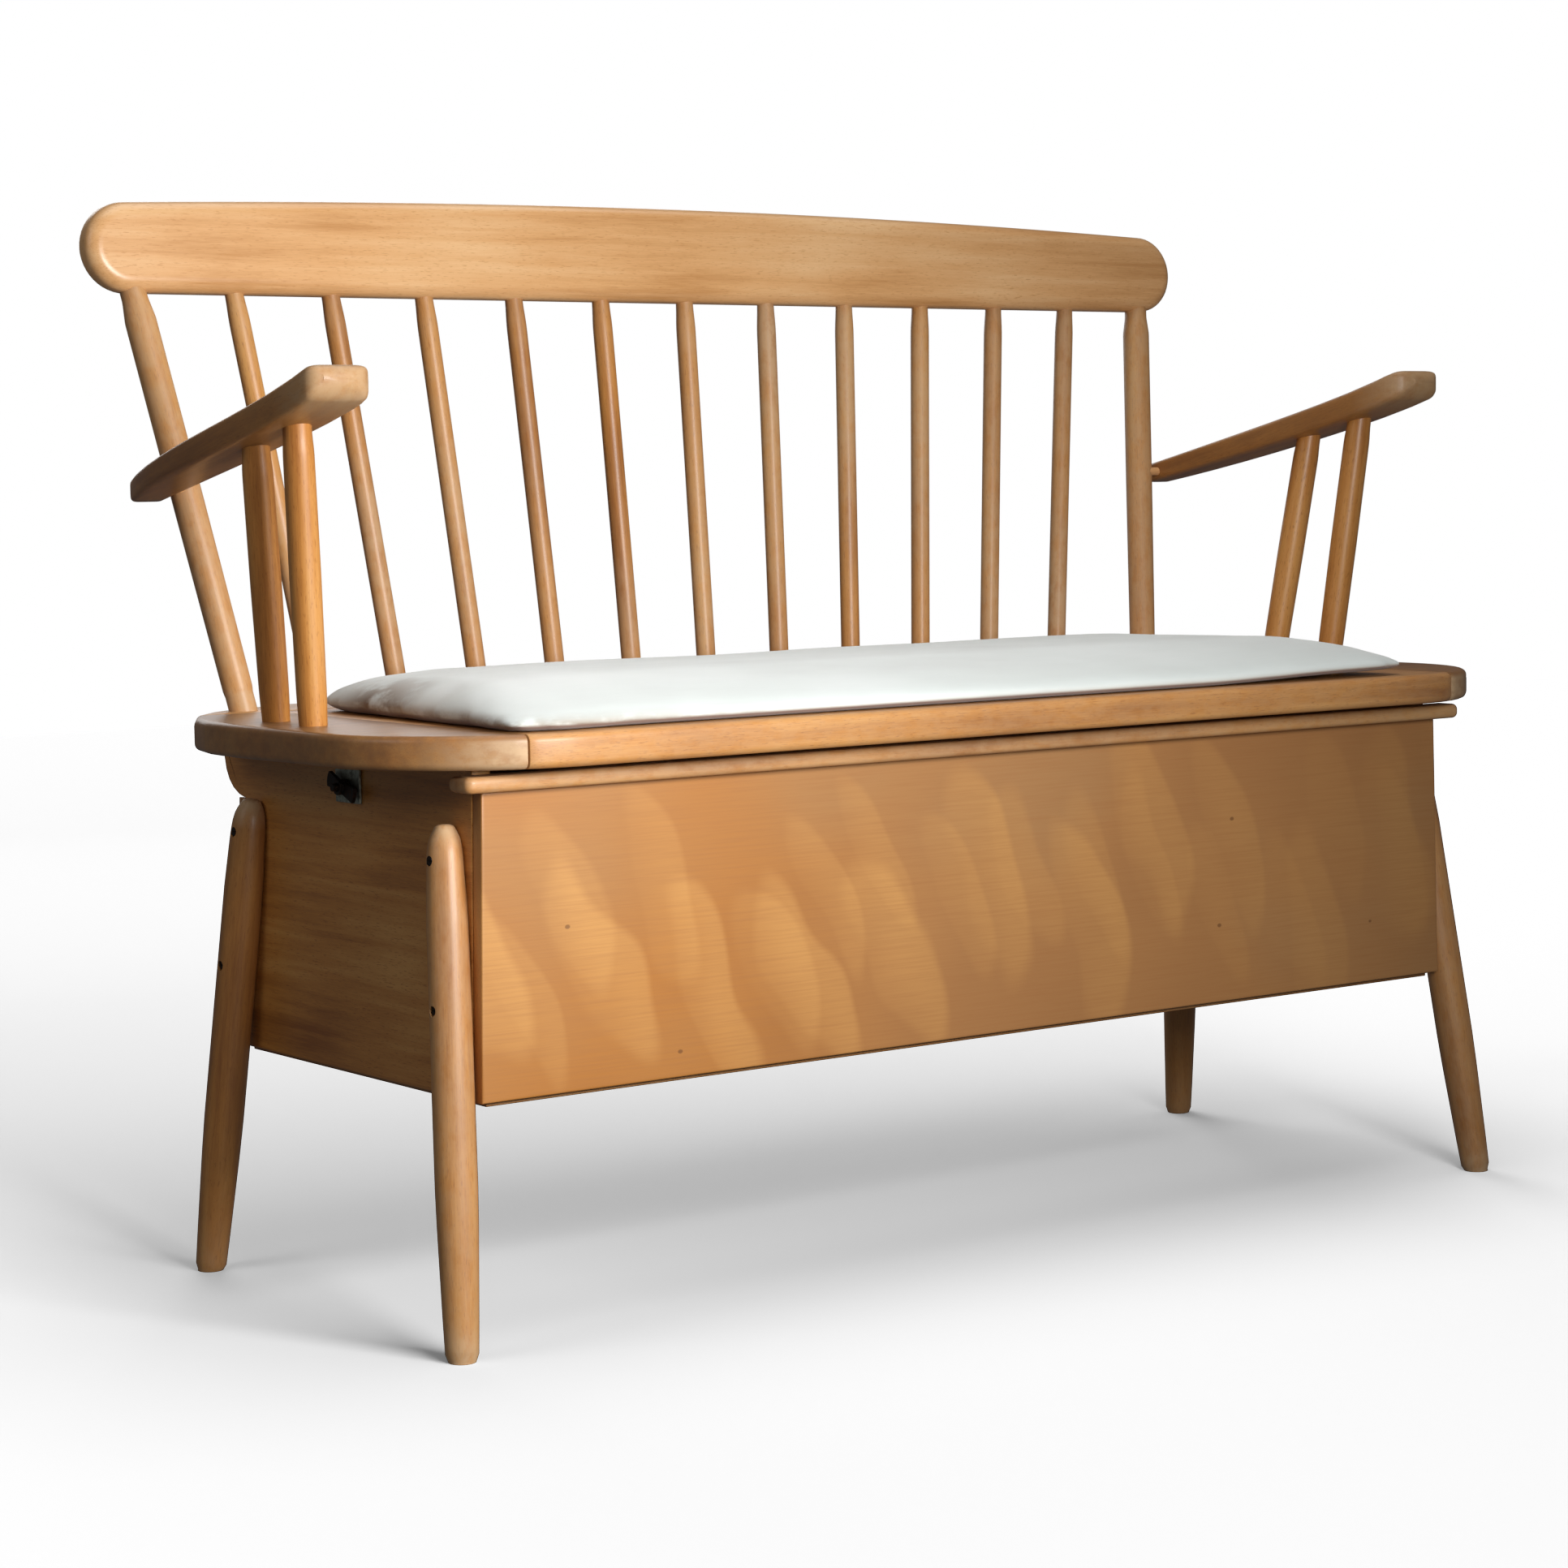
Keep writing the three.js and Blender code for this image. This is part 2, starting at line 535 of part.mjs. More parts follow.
// Where a screw goes: from the leg's outer surface, square to the side panel.
function screwPlace(side, end, z) {
  const leg = legLine(side, end);
  const centre = leg.from.clone().lerp(leg.to, z / LEG_HEIGHT);
  const inward = v3(-side * Math.cos(SIDE_TILT), 0, -Math.sin(SIDE_TILT));
  const at = (distance) => centre.clone().addScaledVector(inward, distance);
  const panelFace = Math.abs(centre.x) - (BOX_HALF_BOTTOM - (z - BOX_BOTTOM) * Math.tan(SIDE_TILT));
  return { at, seat: -LEG_RADIUS + SCREW_RECESS, tip: panelFace + SCREW_BITE };
}

const screwHeights = Object.values(SCREWS_ABOVE_BOX_BOTTOM).map((height) => BOX_BOTTOM + height);

function leg(side, end) {
  const axis = legLine(side, end);
  const body = turned(legProfile(axis.length), 16).applyMatrix4(along(axis.from, axis.to));
  // The foot is sawn level with the floor and the inner side is planed flat against the panel.
  const far = 2 * SEAT_HALF_LENGTH;
  const faceX = [BOX_HALF_BOTTOM - 3 * LEG_RADIUS, BOX_HALF_BOTTOM + GAP].map((x) => side * x);
  const panelSpace = block(Math.min(...faceX), Math.max(...faceX), -far, far, BOX_BOTTOM, SEAT_TOP);
  const tools = [
    leaned(panelSpace.translate(0, 0, -OVERRUN), side),
    block(-far, far, -far, far, -LEG_RADIUS, 0),
  ];
  screwHeights.forEach((z) => {
    const place = screwPlace(side, end, z);
    const outside = place.at(-2 * LEG_RADIUS);
    const inside = place.at(2 * LEG_RADIUS);
    tools.push(rod(outside, place.at(place.seat), SCREW_HEAD_RADIUS + GAP, 12));
    tools.push(rod(place.at(place.seat - 1), inside, SCREW_SHANK_RADIUS + GAP, 8));
  });
  return cut(body, tools);
}

function legScrew(side, end, z) {
  const place = screwPlace(side, end, z);
  const head = place.seat - GAP - SCREW_HEAD_THICKNESS;
  const body = join(
    rod(place.at(head), place.at(place.seat - GAP), SCREW_HEAD_RADIUS, 12),
    rod(place.at(place.seat - GAP - 1), place.at(place.tip), SCREW_SHANK_RADIUS, 8),
  );
  const centre = place.at(head);
  const slot = block(
    centre.x - SCREW_SLOT, centre.x + SCREW_SLOT,
    centre.y - SCREW_HEAD_RADIUS, centre.y + SCREW_HEAD_RADIUS,
    centre.z - SCREW_SLOT / 2, centre.z + SCREW_SLOT / 2,
  );
  return cut(body, [slot]);
}

function sidePanel(side) {
  const width = [side * BOX_HALF_BOTTOM, side * (BOX_HALF_BOTTOM - SIDE_THICKNESS)];
  const body = leaned(extrudedAlongX(sidePanelOutline(), Math.min(...width), Math.max(...width)), side);
  const far = 2 * SEAT_HALF_LENGTH;
  const tools = [
    block(-far, far, -far, far, PANEL_TOP, SEAT_TOP),
    block(-far, far, -far, far, 0, BOX_BOTTOM),
  ];
  [-1, 1].forEach((end) => screwHeights.forEach((z) => {
    const place = screwPlace(side, end, z);
    tools.push(rod(place.at(0), place.at(place.tip + SOCKET_END), SCREW_SHANK_RADIUS + GAP, 8));
  }));
  tools.push(mirrored(boltHole(), side));
  return cut(body, tools);
}

// ---- back ----
function crest() {
  const endRadius = CREST_END_HEIGHT / 2;
  const cornerX = CREST_HALF_LENGTH - endRadius;
  const outline = new THREE.Shape();
  outline.moveTo(-cornerX, 0);
  outline.lineTo(cornerX, 0);
  outline.absarc(cornerX, endRadius, endRadius, -Math.PI / 2, Math.PI / 2);
  const steps = 8;
  for (let i = 1; i < steps; i += 1) {
    const x = cornerX * (1 - (2 * i) / steps);
    outline.lineTo(x, CREST_END_HEIGHT + CREST_RISE * (1 - (x / cornerX) ** 2));
  }
  outline.absarc(-cornerX, endRadius, endRadius, Math.PI / 2, 1.5 * Math.PI);
  const body = slab(outline, -CREST_THICKNESS / 2, CREST_THICKNESS / 2, CREST_ROUNDING, 6);
  body.rotateX(Math.PI / 2 - crestLean).translate(0, CREST_FOOT_Y, CREST_BOTTOM);
  const tools = spindles.map((piece) => socket(piece, 'top', SPINDLE_END_RADIUS, SPINDLE_TENON));
  SIDES.forEach(([, side]) => {
    tools.push(mirrored(socket(post, 'top', POST_TOP_RADIUS, POST_TENON), side));
  });
  return cut(body, tools);
}

function spindleProfile(length) {
  return [
    [-SPINDLE_TENON, SPINDLE_END_RADIUS],
    [1, SPINDLE_END_RADIUS],
    [0.06 * length, SPINDLE_RADIUS],
    [0.94 * length, SPINDLE_RADIUS],
    [length - 3, SPINDLE_END_RADIUS],
    [length + SPINDLE_TENON, SPINDLE_END_RADIUS],
  ];
}

function postProfile(length) {
  return [
    [-POST_TENON, POST_FOOT_RADIUS],
    [POST_COLLAR, POST_FOOT_RADIUS],
    [POST_COLLAR + 1, POST_RADIUS - 0.6],
    [0.5 * length, POST_RADIUS],
    [length - 22, POST_RADIUS],
    [length - 6, POST_TOP_RADIUS],
    [length + POST_TENON, POST_TOP_RADIUS],
  ];
}

function armSpindleProfile(length) {
  return [
    [-ARM_SPINDLE_TENON, ARM_SPINDLE_END_RADIUS],
    [1, ARM_SPINDLE_END_RADIUS],
    [0.1 * length, ARM_SPINDLE_RADIUS - 0.5],
    [0.5 * length, ARM_SPINDLE_RADIUS],
    [0.93 * length, ARM_SPINDLE_RADIUS - 0.3],
    [length - 7, ARM_SPINDLE_END_RADIUS],
    [length + ARM_SPINDLE_TENON, ARM_SPINDLE_END_RADIUS],
  ];
}

// ---- arms ----
// The dowel between an arm and its post, square to the bench's end.
const dowelZ = (armUnderside(ARM_REAR) + armTop(ARM_REAR)) / 2 + OVERRUN;
const postAtDowel = post.from.clone().lerp(post.to, (dowelZ - SEAT_TOP) / BACK_HEIGHT);
const dowelY = postAtDowel.y - DOWEL_FORWARD;
const dowelStart = v3(postAtDowel.x + POST_RADIUS - DOWEL_BITE, dowelY, dowelZ);
const dowelEnd = v3(SEAT_HALF_LENGTH - ARM_INNER_REAR + DOWEL_ARM_BITE, dowelY, dowelZ);

function dowelHole() {
  const start = dowelStart.clone().add(v3(-SOCKET_END, 0, 0));
  const end = dowelEnd.clone().add(v3(SOCKET_END, 0, 0));
  return rod(start, end, DOWEL_RADIUS + GAP, 12);
}

// The arm seen from above: a paddle, wide and round at the front, drawn in to the post.
function armPlan() {
  const innerFront = SEAT_HALF_LENGTH - ARM_INNER_FRONT;
  const innerRear = SEAT_HALF_LENGTH - ARM_INNER_REAR;
  const outer = SEAT_HALF_LENGTH + ARM_PAST_SEAT;
  const outerRear = outer - ARM_TAPER;
  const waist = (ARM_FRONT + ARM_REAR) / 2;
  const plan = new THREE.Shape();
  plan.moveTo(innerRear, ARM_REAR);
  plan.lineTo(innerFront, ARM_FRONT + ARM_INNER_ROUND);
  plan.quadraticCurveTo(innerFront, ARM_FRONT, innerFront + ARM_INNER_ROUND, ARM_FRONT);
  plan.lineTo(outer - ARM_OUTER_ROUND, ARM_FRONT);
  plan.quadraticCurveTo(outer, ARM_FRONT, outer, ARM_FRONT + ARM_OUTER_ROUND);
  plan.lineTo(outer, waist);
  plan.quadraticCurveTo(outer, ARM_REAR - ARM_SHOULDER, outerRear, ARM_REAR);
  return plan;
}

// The arm seen from the end: its underside and its top.
function armSide() {
  const steps = 10;
  const stations = [];
  for (let i = 0; i <= steps; i += 1) stations.push(ARM_REAR + ((ARM_FRONT - ARM_REAR) * i) / steps);
  const profile = new THREE.Shape();
  profile.moveTo(ARM_REAR, armUnderside(ARM_REAR));
  stations.forEach((y) => profile.lineTo(y, armTop(y)));
  stations.reverse().forEach((y) => profile.lineTo(y, armUnderside(y)));
  return profile;
}

function arm() {
  const inside = SEAT_HALF_LENGTH - ARM_INNER_FRONT - OVERRUN;
  const outside = SEAT_HALF_LENGTH + ARM_PAST_SEAT + OVERRUN;
  const side = solid(extrudedAlongX(armSide(), inside, outside));
  const plan = solid(slab(armPlan(), SEAT_TOP, CREST_BOTTOM, 0, 5));
  const tools = Object.values(armSpindles).map((piece) => (
    socket(piece, 'top', ARM_SPINDLE_END_RADIUS, ARM_SPINDLE_TENON)));
  tools.push(dowelHole());
  const postSpace = turned(postProfile(post.length).map(([d, r]) => [d, r + GAP]), 20);
  tools.push(postSpace.applyMatrix4(along(post.from, post.to)));
  return cut(surface(side.intersect(plan)), tools);
}

// ---- hinges ----
function knuckle(index, radius) {
  const length = HINGE_LENGTH / KNUCKLES;
  const x0 = -HINGE_LENGTH / 2 + index * length + (index > 0 ? GAP : 0);
  const x1 = x0 + length - (index > 0 ? GAP : 0);
  return rod(v3(x0, HINGE_Y, HINGE_Z), v3(x1, HINGE_Y, HINGE_Z), radius, 16);
}

// One leaf stands in the gap behind the lid and carries every other knuckle.
function hingeLeaf(face, owned) {
  const half = HINGE_LENGTH / 2;
  const inner = face * (LID_HINGE_GAP / 2 - GAP);
  const outer = inner - face * HINGE_LEAF_THICKNESS;
  const ys = [HINGE_Y + inner, HINGE_Y + outer].sort((a, b) => a - b);
  const plate = block(-half, half, ...ys, SEAT_TOP - HINGE_LEAF_DEPTH, HINGE_Z);
  const clear = [];
  for (let i = 0; i < KNUCKLES; i += 1) {
    if (owned.includes(i)) continue;
    const x0 = -half + (i * HINGE_LENGTH) / KNUCKLES - GAP;
    const x1 = x0 + HINGE_LENGTH / KNUCKLES + 2 * GAP;
    const reach = 2 * HINGE_KNUCKLE_RADIUS;
    clear.push(block(x0, x1, HINGE_Y - reach, HINGE_Y + reach, SEAT_TOP - GAP, HINGE_Z + reach));
  }
  let body = solid(plate);
  clear.forEach((tool) => { body = body.subtract(solid(tool)); });
  owned.forEach((i) => { body = body.add(solid(knuckle(i, HINGE_KNUCKLE_RADIUS))); });
  const bore = rod(
    v3(-half - OVERRUN, HINGE_Y, HINGE_Z), v3(half + OVERRUN, HINGE_Y, HINGE_Z),
    HINGE_PIN_RADIUS + HINGE_PIN_PLAY, 16,
  );
  return surface(body.subtract(solid(bore)));
}

function hingePin() {
  const half = HINGE_LENGTH / 2;
  return rod(v3(-half, HINGE_Y, HINGE_Z), v3(half, HINGE_Y, HINGE_Z), HINGE_PIN_RADIUS, 16);
}

// ---- brackets ----
// Outer face of a side panel at the bracket's lower end, where the panel stands out most.
const bracketFace = BOX_HALF_TOP + (BRACKET_DROP + GAP) * Math.tan(SIDE_TILT) + GAP;
const boltStart = BOX_HALF_TOP - SIDE_THICKNESS; // inner face of the side panel
const nutFace = bracketFace + BRACKET_THICKNESS + GAP;

// A round bar along the bolt's line through the side panel, on the +X side.
function boltBar(x0, x1, radius, segments = 12) {
  return rod(v3(x0, BRACKET_Y, BOLT_Z), v3(x1, BRACKET_Y, BOLT_Z), radius, segments);
}

const boltHole = () => boltBar(boltStart - SIDE_THICKNESS, nutFace + 2 * NUT_LENGTH, BOLT_RADIUS + GAP);

function bracket() {
  const half = BRACKET_WIDTH / 2;
  const sides = [BRACKET_Y - half, BRACKET_Y + half];
  const top = SEAT_UNDER - GAP;
  const upright = block(bracketFace, bracketFace + BRACKET_THICKNESS, ...sides, top - BRACKET_DROP, top);
  const flange = block(bracketFace, bracketFace + BRACKET_REACH, ...sides, top - BRACKET_THICKNESS, top);
  return cut(join(upright, flange), [boltHole()]);
}

function wingNut() {
  const hub = boltBar(nutFace, nutFace + NUT_LENGTH, 2 * BOLT_RADIUS);
  const wings = [0, Math.PI].map((turn) => {
    const shape = new THREE.Shape();
    const reach = WING_SPAN / 2;
    shape.moveTo(0, -WING_ROOT / 2);
    shape.lineTo(reach - WING_THICKNESS, -WING_HEIGHT / 2);
    shape.quadraticCurveTo(reach, 0, reach - WING_THICKNESS, WING_HEIGHT / 2);
    shape.lineTo(0, WING_ROOT / 2);
    const wing = extrudedAlongX(shape, 0, WING_THICKNESS, 4).rotateX(turn + WING_TILT);
    return wing.translate(nutFace + WING_THICKNESS, BRACKET_Y, BOLT_Z);
  });
  return cut(join(hub, ...wings), [boltHole()]);
}

function bracketBolt() {
  const seat = boltStart - 2 * GAP;
  const tip = nutFace + NUT_LENGTH + BOLT_PAST_NUT;
  const head = boltBar(seat - BOLT_HEAD_THICKNESS, seat, 2 * BOLT_RADIUS);
  return join(head, boltBar(seat - GAP, tip, BOLT_RADIUS));
}

// ---- assembly ----
function placeTurned(name, piece, side, profile, segments, finish) {
  const mesh = add(frame, name, turned(profile(piece.length), segments), finish);
  const from = piece.from.clone().setX(side * piece.from.x);
  const to = piece.to.clone().setX(side * piece.to.x);
  along(from, to).decompose(mesh.position, mesh.quaternion, mesh.scale);
  return mesh;
}

add(frame, 'crest_rail', crest(), WOOD_PALE);
spindles.forEach((piece, i) => {
  const name = `spindle_${String(i + 1).padStart(2, '0')}`;
  placeTurned(name, piece, 1, spindleProfile, 12, WOOD);
});
add(frame, 'seat_back_board', backBoard(), WOOD);
add(frame, 'front_rail', frontRail(), WOOD);
add(frame, 'front_panel', frontPanel(), PLYWOOD);
add(frame, 'back_panel', backPanel(), PLYWOOD);
const bottomHalf = BOX_HALF_BOTTOM - BOTTOM_INSET;
add(frame, 'bottom_panel', block(
  -bottomHalf, bottomHalf,
  BOX_FRONT - FACE_THICKNESS + BOTTOM_INSET, BOX_REAR + FACE_THICKNESS - BOTTOM_INSET,
  BOX_BOTTOM - GAP - BOTTOM_THICKNESS, BOX_BOTTOM - GAP,
), PLYWOOD);

SIDES.forEach(([name, side]) => {
  add(frame, `seat_end_${name}`, mirrored(seatEnd(), side), WOOD);
  add(frame, `side_panel_${name}`, sidePanel(side), WOOD);
  const postMesh = placeTurned(`back_post_${name}`, post, side, postProfile, 16, WOOD);
  postMesh.updateMatrix();
  const hole = mirrored(dowelHole(), side).applyMatrix4(postMesh.matrix.clone().invert());
  postMesh.geometry = cut(postMesh.geometry, [hole]);
  add(frame, `arm_${name}`, mirrored(arm(), side), WOOD);
  add(frame, `arm_dowel_${name}`, mirrored(rod(dowelStart, dowelEnd, DOWEL_RADIUS, 12), side), WOOD_PALE);
  Object.entries(armSpindles).forEach(([place, piece]) => {
    placeTurned(`arm_spindle_${place}_${name}`, piece, side, armSpindleProfile, 14, WOOD);
  });
  [['front', -1], ['rear', 1]].forEach(([place, end]) => {
    add(frame, `leg_${place}_${name}`, leg(side, end), WOOD);
    Object.keys(SCREWS_ABOVE_BOX_BOTTOM).forEach((level, i) => {
      const z = screwHeights[i];
      add(frame, `leg_screw_${place}_${name}_${level}`, legScrew(side, end, z), DARK_STEEL);
    });
  });
  add(frame, `bracket_${name}`, mirrored(bracket(), side), ZINC);
  add(frame, `bracket_bolt_${name}`, mirrored(bracketBolt(), side), DARK_STEEL);
  add(frame, `wing_nut_${name}`, mirrored(wingNut(), side), DARK_STEEL);

  const fixed = add(frame, `hinge_fixed_leaf_${name}`, hingeLeaf(1, [0, 2]), BRASS);
  const moving = add(lid, `hinge_lid_leaf_${name}`, hingeLeaf(-1, [1]), BRASS);
  const pin = add(frame, `hinge_pin_${name}`, hingePin(), BRASS);
  [fixed, moving, pin].forEach((mesh) => { mesh.position.x = side * HINGE_X; });
});

add(lid, 'seat_lid', seatLid(), WOOD);
add(lid, 'seat_cushion', cushion(), FABRIC);

// The origin is the middle of the bench's footprint, at floor level.
const extent = new THREE.Box3().setFromObject(bench);
bench.position.y = -(extent.min.y + extent.max.y) / 2;

export default bench;
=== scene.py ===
"""Looks of a storage bench: varnished beech, birch plywood, a thin white cushion, small metal fittings.

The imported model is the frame. Each wooden piece is carved again over its own CAD solid, with rounded
edges, fine turning and its grain along the wood. The cushion is filled by simulation. The metal fittings
and the hidden dowels keep their CAD shape. Metres, +Z up, the bench's front faces -Y.
"""

import json
import math

import bmesh
import bpy
import numpy as np
from mathutils import Matrix, Vector, noise


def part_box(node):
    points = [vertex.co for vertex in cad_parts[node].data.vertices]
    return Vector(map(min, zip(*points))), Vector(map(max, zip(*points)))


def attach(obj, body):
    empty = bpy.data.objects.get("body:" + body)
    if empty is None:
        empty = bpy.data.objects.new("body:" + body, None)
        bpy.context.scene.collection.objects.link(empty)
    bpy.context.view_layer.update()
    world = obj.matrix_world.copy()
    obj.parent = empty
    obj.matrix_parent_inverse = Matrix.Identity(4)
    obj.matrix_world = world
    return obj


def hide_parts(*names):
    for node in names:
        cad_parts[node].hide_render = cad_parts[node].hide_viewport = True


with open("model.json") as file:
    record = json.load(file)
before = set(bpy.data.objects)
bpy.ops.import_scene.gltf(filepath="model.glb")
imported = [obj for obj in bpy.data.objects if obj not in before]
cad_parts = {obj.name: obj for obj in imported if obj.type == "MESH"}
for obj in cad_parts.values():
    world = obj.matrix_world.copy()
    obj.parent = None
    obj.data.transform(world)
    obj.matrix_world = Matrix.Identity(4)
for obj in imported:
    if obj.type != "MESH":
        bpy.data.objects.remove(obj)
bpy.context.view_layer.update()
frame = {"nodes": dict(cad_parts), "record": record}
NODES = frame["nodes"]
BODIES = frame["record"]["behaviour"]["bodies"]
BODY_OF = {node: body for body, members in BODIES.items() for node in members}
SLOT_OF = {row["node"]: row["material_slot"] for row in frame["record"]["subparts"]}
SIDES = {"left": -1, "right": 1}
MM = 0.001

# ---- how finely the frame is read ----
WELD = 1e-6  # corners closer than this are one corner
NEAR = 1e-5  # outline points closer than this are one point
STRAIGHT = 1e-3  # an outline that turns less than this is straight
MITRE_LIMIT = 0.6  # keeps a short edge's mitre from growing into a spike

# ---- shapes that the finishing tools leave, in metres ----
SEAT_ROUNDING = 5.5 * MM
CREST_ROUNDING = 11 * MM
RAIL_ROUNDING = 4.5 * MM
PANEL_ROUNDING = 1.2 * MM
BOTTOM_ROUNDING = 0.5 * MM
SEAM_BEVEL = 0.6 * MM
FITTING_BEVEL = 0.3 * MM
FITTING_ANGLE = math.radians(50)
PLANING = 0.4 * MM  # taken off the inner face of each side panel
SMOOTH_ANGLE = math.radians(38)  # edges that turn less than this are shaded as one surface
SUPPORT = 1.5 * MM  # width of the flat strip that keeps a face's shading level
GRID = 38 * MM  # size of the squares that the flat faces are divided into
GRID_SHIFT = 0.013  # share of a square, so that no cut runs through a corner

# ---- turned pieces ----
TURNED_SIDES = 48
AXIS_PASSES = 4  # rounds in which a turned piece's axis is found
END_RING = 1.2 * MM  # depth of the corners that count as a piece's end ring
RING_GAP = 0.25 * MM  # the least distance between two rings of a turned solid

# ---- legs ----
LEG_STATIONS = 70
LEG_BLUR = 5 * MM
LEG_DOME = 9 * MM  # length over which a leg's top rounds over
LEG_TOP_FADE = 0.355  # height at which the varnish starts to wear off a leg's top
FOOT_ROUNDING = 4 * MM
FOOT_NARROWING = 0.16
LEG_CLEARANCE = 0.3 * MM  # between a leg's planed flat and the side panel
SCREW_HOLE_RADIUS = 3.9 * MM
SCREW_HOLE_REACH = 20 * MM
SCREW_HOLE_DEPTH = 2 * MM

# ---- arms ----
ARM_SOFTNESS = 6.0  # exponent of the arm's superelliptic section
ARM_TIP = 13 * MM  # length over which the arm's front end rounds over
ARM_BUTT = 3 * MM
ARM_SIDES = 40
ARM_MARGIN = 0.6 * MM  # keeps the cutting planes inside the arm

# ---- crest rail ----
CREST_END_STEPS = 24
CREST_TOP_STEPS = 48

# ---- wear, from 0 to 1 ----
SEAT_FADE = 0.25
RAIL_FADE = 0.5
SEAT_SOIL = 0.08
SEAT_END_SOIL = 0.72
ARM_SOIL = 0.5


# ------------------------------------------------------------------ reading the frame
def cad_points(node):
    """The node's corners, each once."""
    points = np.array([v.co for v in NODES[node].data.vertices], float)
    return np.unique(points.round(6), axis=0)


def section_loops(node, origin, normal):
    """The closed outlines in which a plane cuts a node, as lists of points, longest first."""
    bm = bmesh.new()
    bm.from_mesh(NODES[node].data)
    bmesh.ops.remove_doubles(bm, verts=bm.verts, dist=WELD)
    geometry = bm.verts[:] + bm.edges[:] + bm.faces[:]
    cut = bmesh.ops.bisect_plane(bm, geom=geometry, plane_co=origin, plane_no=normal)["geom_cut"]
    edges = {e for e in cut if isinstance(e, bmesh.types.BMEdge)}
    loops = []
    while edges:
        edge = edges.pop()
        chain = [edge.verts[0], edge.verts[1]]
        while True:
            following = next((e for e in chain[-1].link_edges if e in edges), None)
            if following is None:
                break
            edges.discard(following)
            chain.append(following.other_vert(chain[-1]))
        if chain[0] == chain[-1]:
            chain.pop()
        loops.append([v.co.copy() for v in chain])
    bm.free()

    def girth(loop):
        return sum((a - b).length for a, b in zip(loop, loop[1:] + loop[:1]))

    return sorted(loops, key=girth, reverse=True)


# ------------------------------------------------------------------ outlines
def tidy_loop(loop):
    """Counter-clockwise, with no repeated point and no point in the middle of a straight edge."""
    points = [Vector(p[:2]) for p in loop]
    points = [p for i, p in enumerate(points) if (p - points[i - 1]).length > NEAR]
    area = sum(a.cross(b) for a, b in zip(points, points[1:] + points[:1]))
    if area < 0:
        points.reverse()
    kept = []
    for i, p in enumerate(points):
        before = (p - points[i - 1]).normalized()
        after = (points[(i + 1) % len(points)] - p).normalized()
        if abs(before.cross(after)) > STRAIGHT:
            kept.append(p)
    return kept


def inset_loop(loop, distance):
    """The outline moved inward by a distance, with mitred corners."""
    moved = []
    for i, p in enumerate(loop):
        before = (p - loop[i - 1]).normalized()
        after = (loop[(i + 1) % len(loop)] - p).normalized()
        inward_before = Vector((-before.y, before.x))
        inward_after = Vector((-after.y, after.x))
        spread = max(1 + inward_before.dot(inward_after), MITRE_LIMIT)
        moved.append(p + (inward_before + inward_after) * (distance / spread))
    return moved


# ------------------------------------------------------------------ pieces
def link(name, data):
    """A new object in the scene, made of a mesh, a camera or a light."""
    obj = bpy.data.objects.new(name, data)
    bpy.context.scene.collection.objects.link(obj)
    return obj


def apply_modifiers(obj):
    """Replaces the object's mesh by what its modifiers make of it."""
    graph = bpy.context.evaluated_depsgraph_get()
    graph.update()
    mesh = bpy.data.meshes.new_from_object(obj.evaluated_get(graph))
    obj.modifiers.clear()
    obj.data = mesh


def write_attribute(mesh, name, values):
    """Stores a number or a vector for each corner, for the materials to read."""
    values = np.asarray(values, np.float32)
    kind = "FLOAT_VECTOR" if values.ndim == 2 else "FLOAT"
    attribute = mesh.attributes.get(name) or mesh.attributes.new(name, kind, "POINT")
    attribute.data.foreach_set("vector" if values.ndim == 2 else "value", values.ravel())


def mesh_points(mesh):
    """The mesh's corners, one to a row."""
    points = np.empty(len(mesh.vertices) * 3, np.float32)
    mesh.vertices.foreach_get("co", points)
    return points.reshape(-1, 3)


def lay_grain(mesh, along, seed):
    """Stores each corner's place in the wood: first along the grain, then across it twice."""
    along = Vector(along).normalized()
    across = along.orthogonal().normalized()
    if abs(along.z) < 0.5:
        across = (Vector((0, 0, 1)) - along * along.z).normalized()
    axes = np.array([along, across, along.cross(across)])
    points = mesh_points(mesh)
    centre = (points.min(0) + points.max(0)) / 2
    offset = np.array([seed * 1.37, seed * 0.61, seed * 0.23])
    write_attribute(mesh, "grain", (points - centre) @ axes.T + offset)


def settle(obj, node, along, seed, wear=None, stain=None):
    """Gives a carved piece its grain and wear, its material and its place on a body.

    The seed moves the piece's grain to a place of its own in the wood.
    """
    lay_grain(obj.data, along, seed)
    clean = np.zeros(len(obj.data.vertices))
    write_attribute(obj.data, "wear", clean if wear is None else wear)
    # The stain channel darkens the wood: real soil on most pieces, and painted shade on the rear legs.
    write_attribute(obj.data, "stain", clean if stain is None else stain)
    obj.data.shade_smooth()
    obj.data.set_sharp_from_angle(angle=SMOOTH_ANGLE)
    slot = SLOT_OF[node]
    obj.data.materials.clear()
    obj.data.materials.append(MATERIALS[slot])
    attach(obj, BODY_OF[node])
    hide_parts(node)


def skin_rings(name, rings):
    """A closed mesh through a list of rings with equal counts, capped at both ends."""
    count = len(rings[0])
    vertices = [tuple(p) for ring in rings for p in ring]
    faces = [tuple(reversed(range(count)))]
    for k in range(len(rings) - 1):
        low, high = k * count, (k + 1) * count
        for i in range(count):
            j = (i + 1) % count
            faces.append((low + i, low + j, high + j, high + i))
    faces.append(tuple(range((len(rings) - 1) * count, len(rings) * count)))
    mesh = bpy.data.meshes.new(name)
    mesh.from_pydata(vertices, [], faces)
    bm = bmesh.new()
    bm.from_mesh(mesh)
    bmesh.ops.recalc_face_normals(bm, faces=bm.faces)
    bm.to_mesh(mesh)
    bm.free()
    return link(name, mesh)


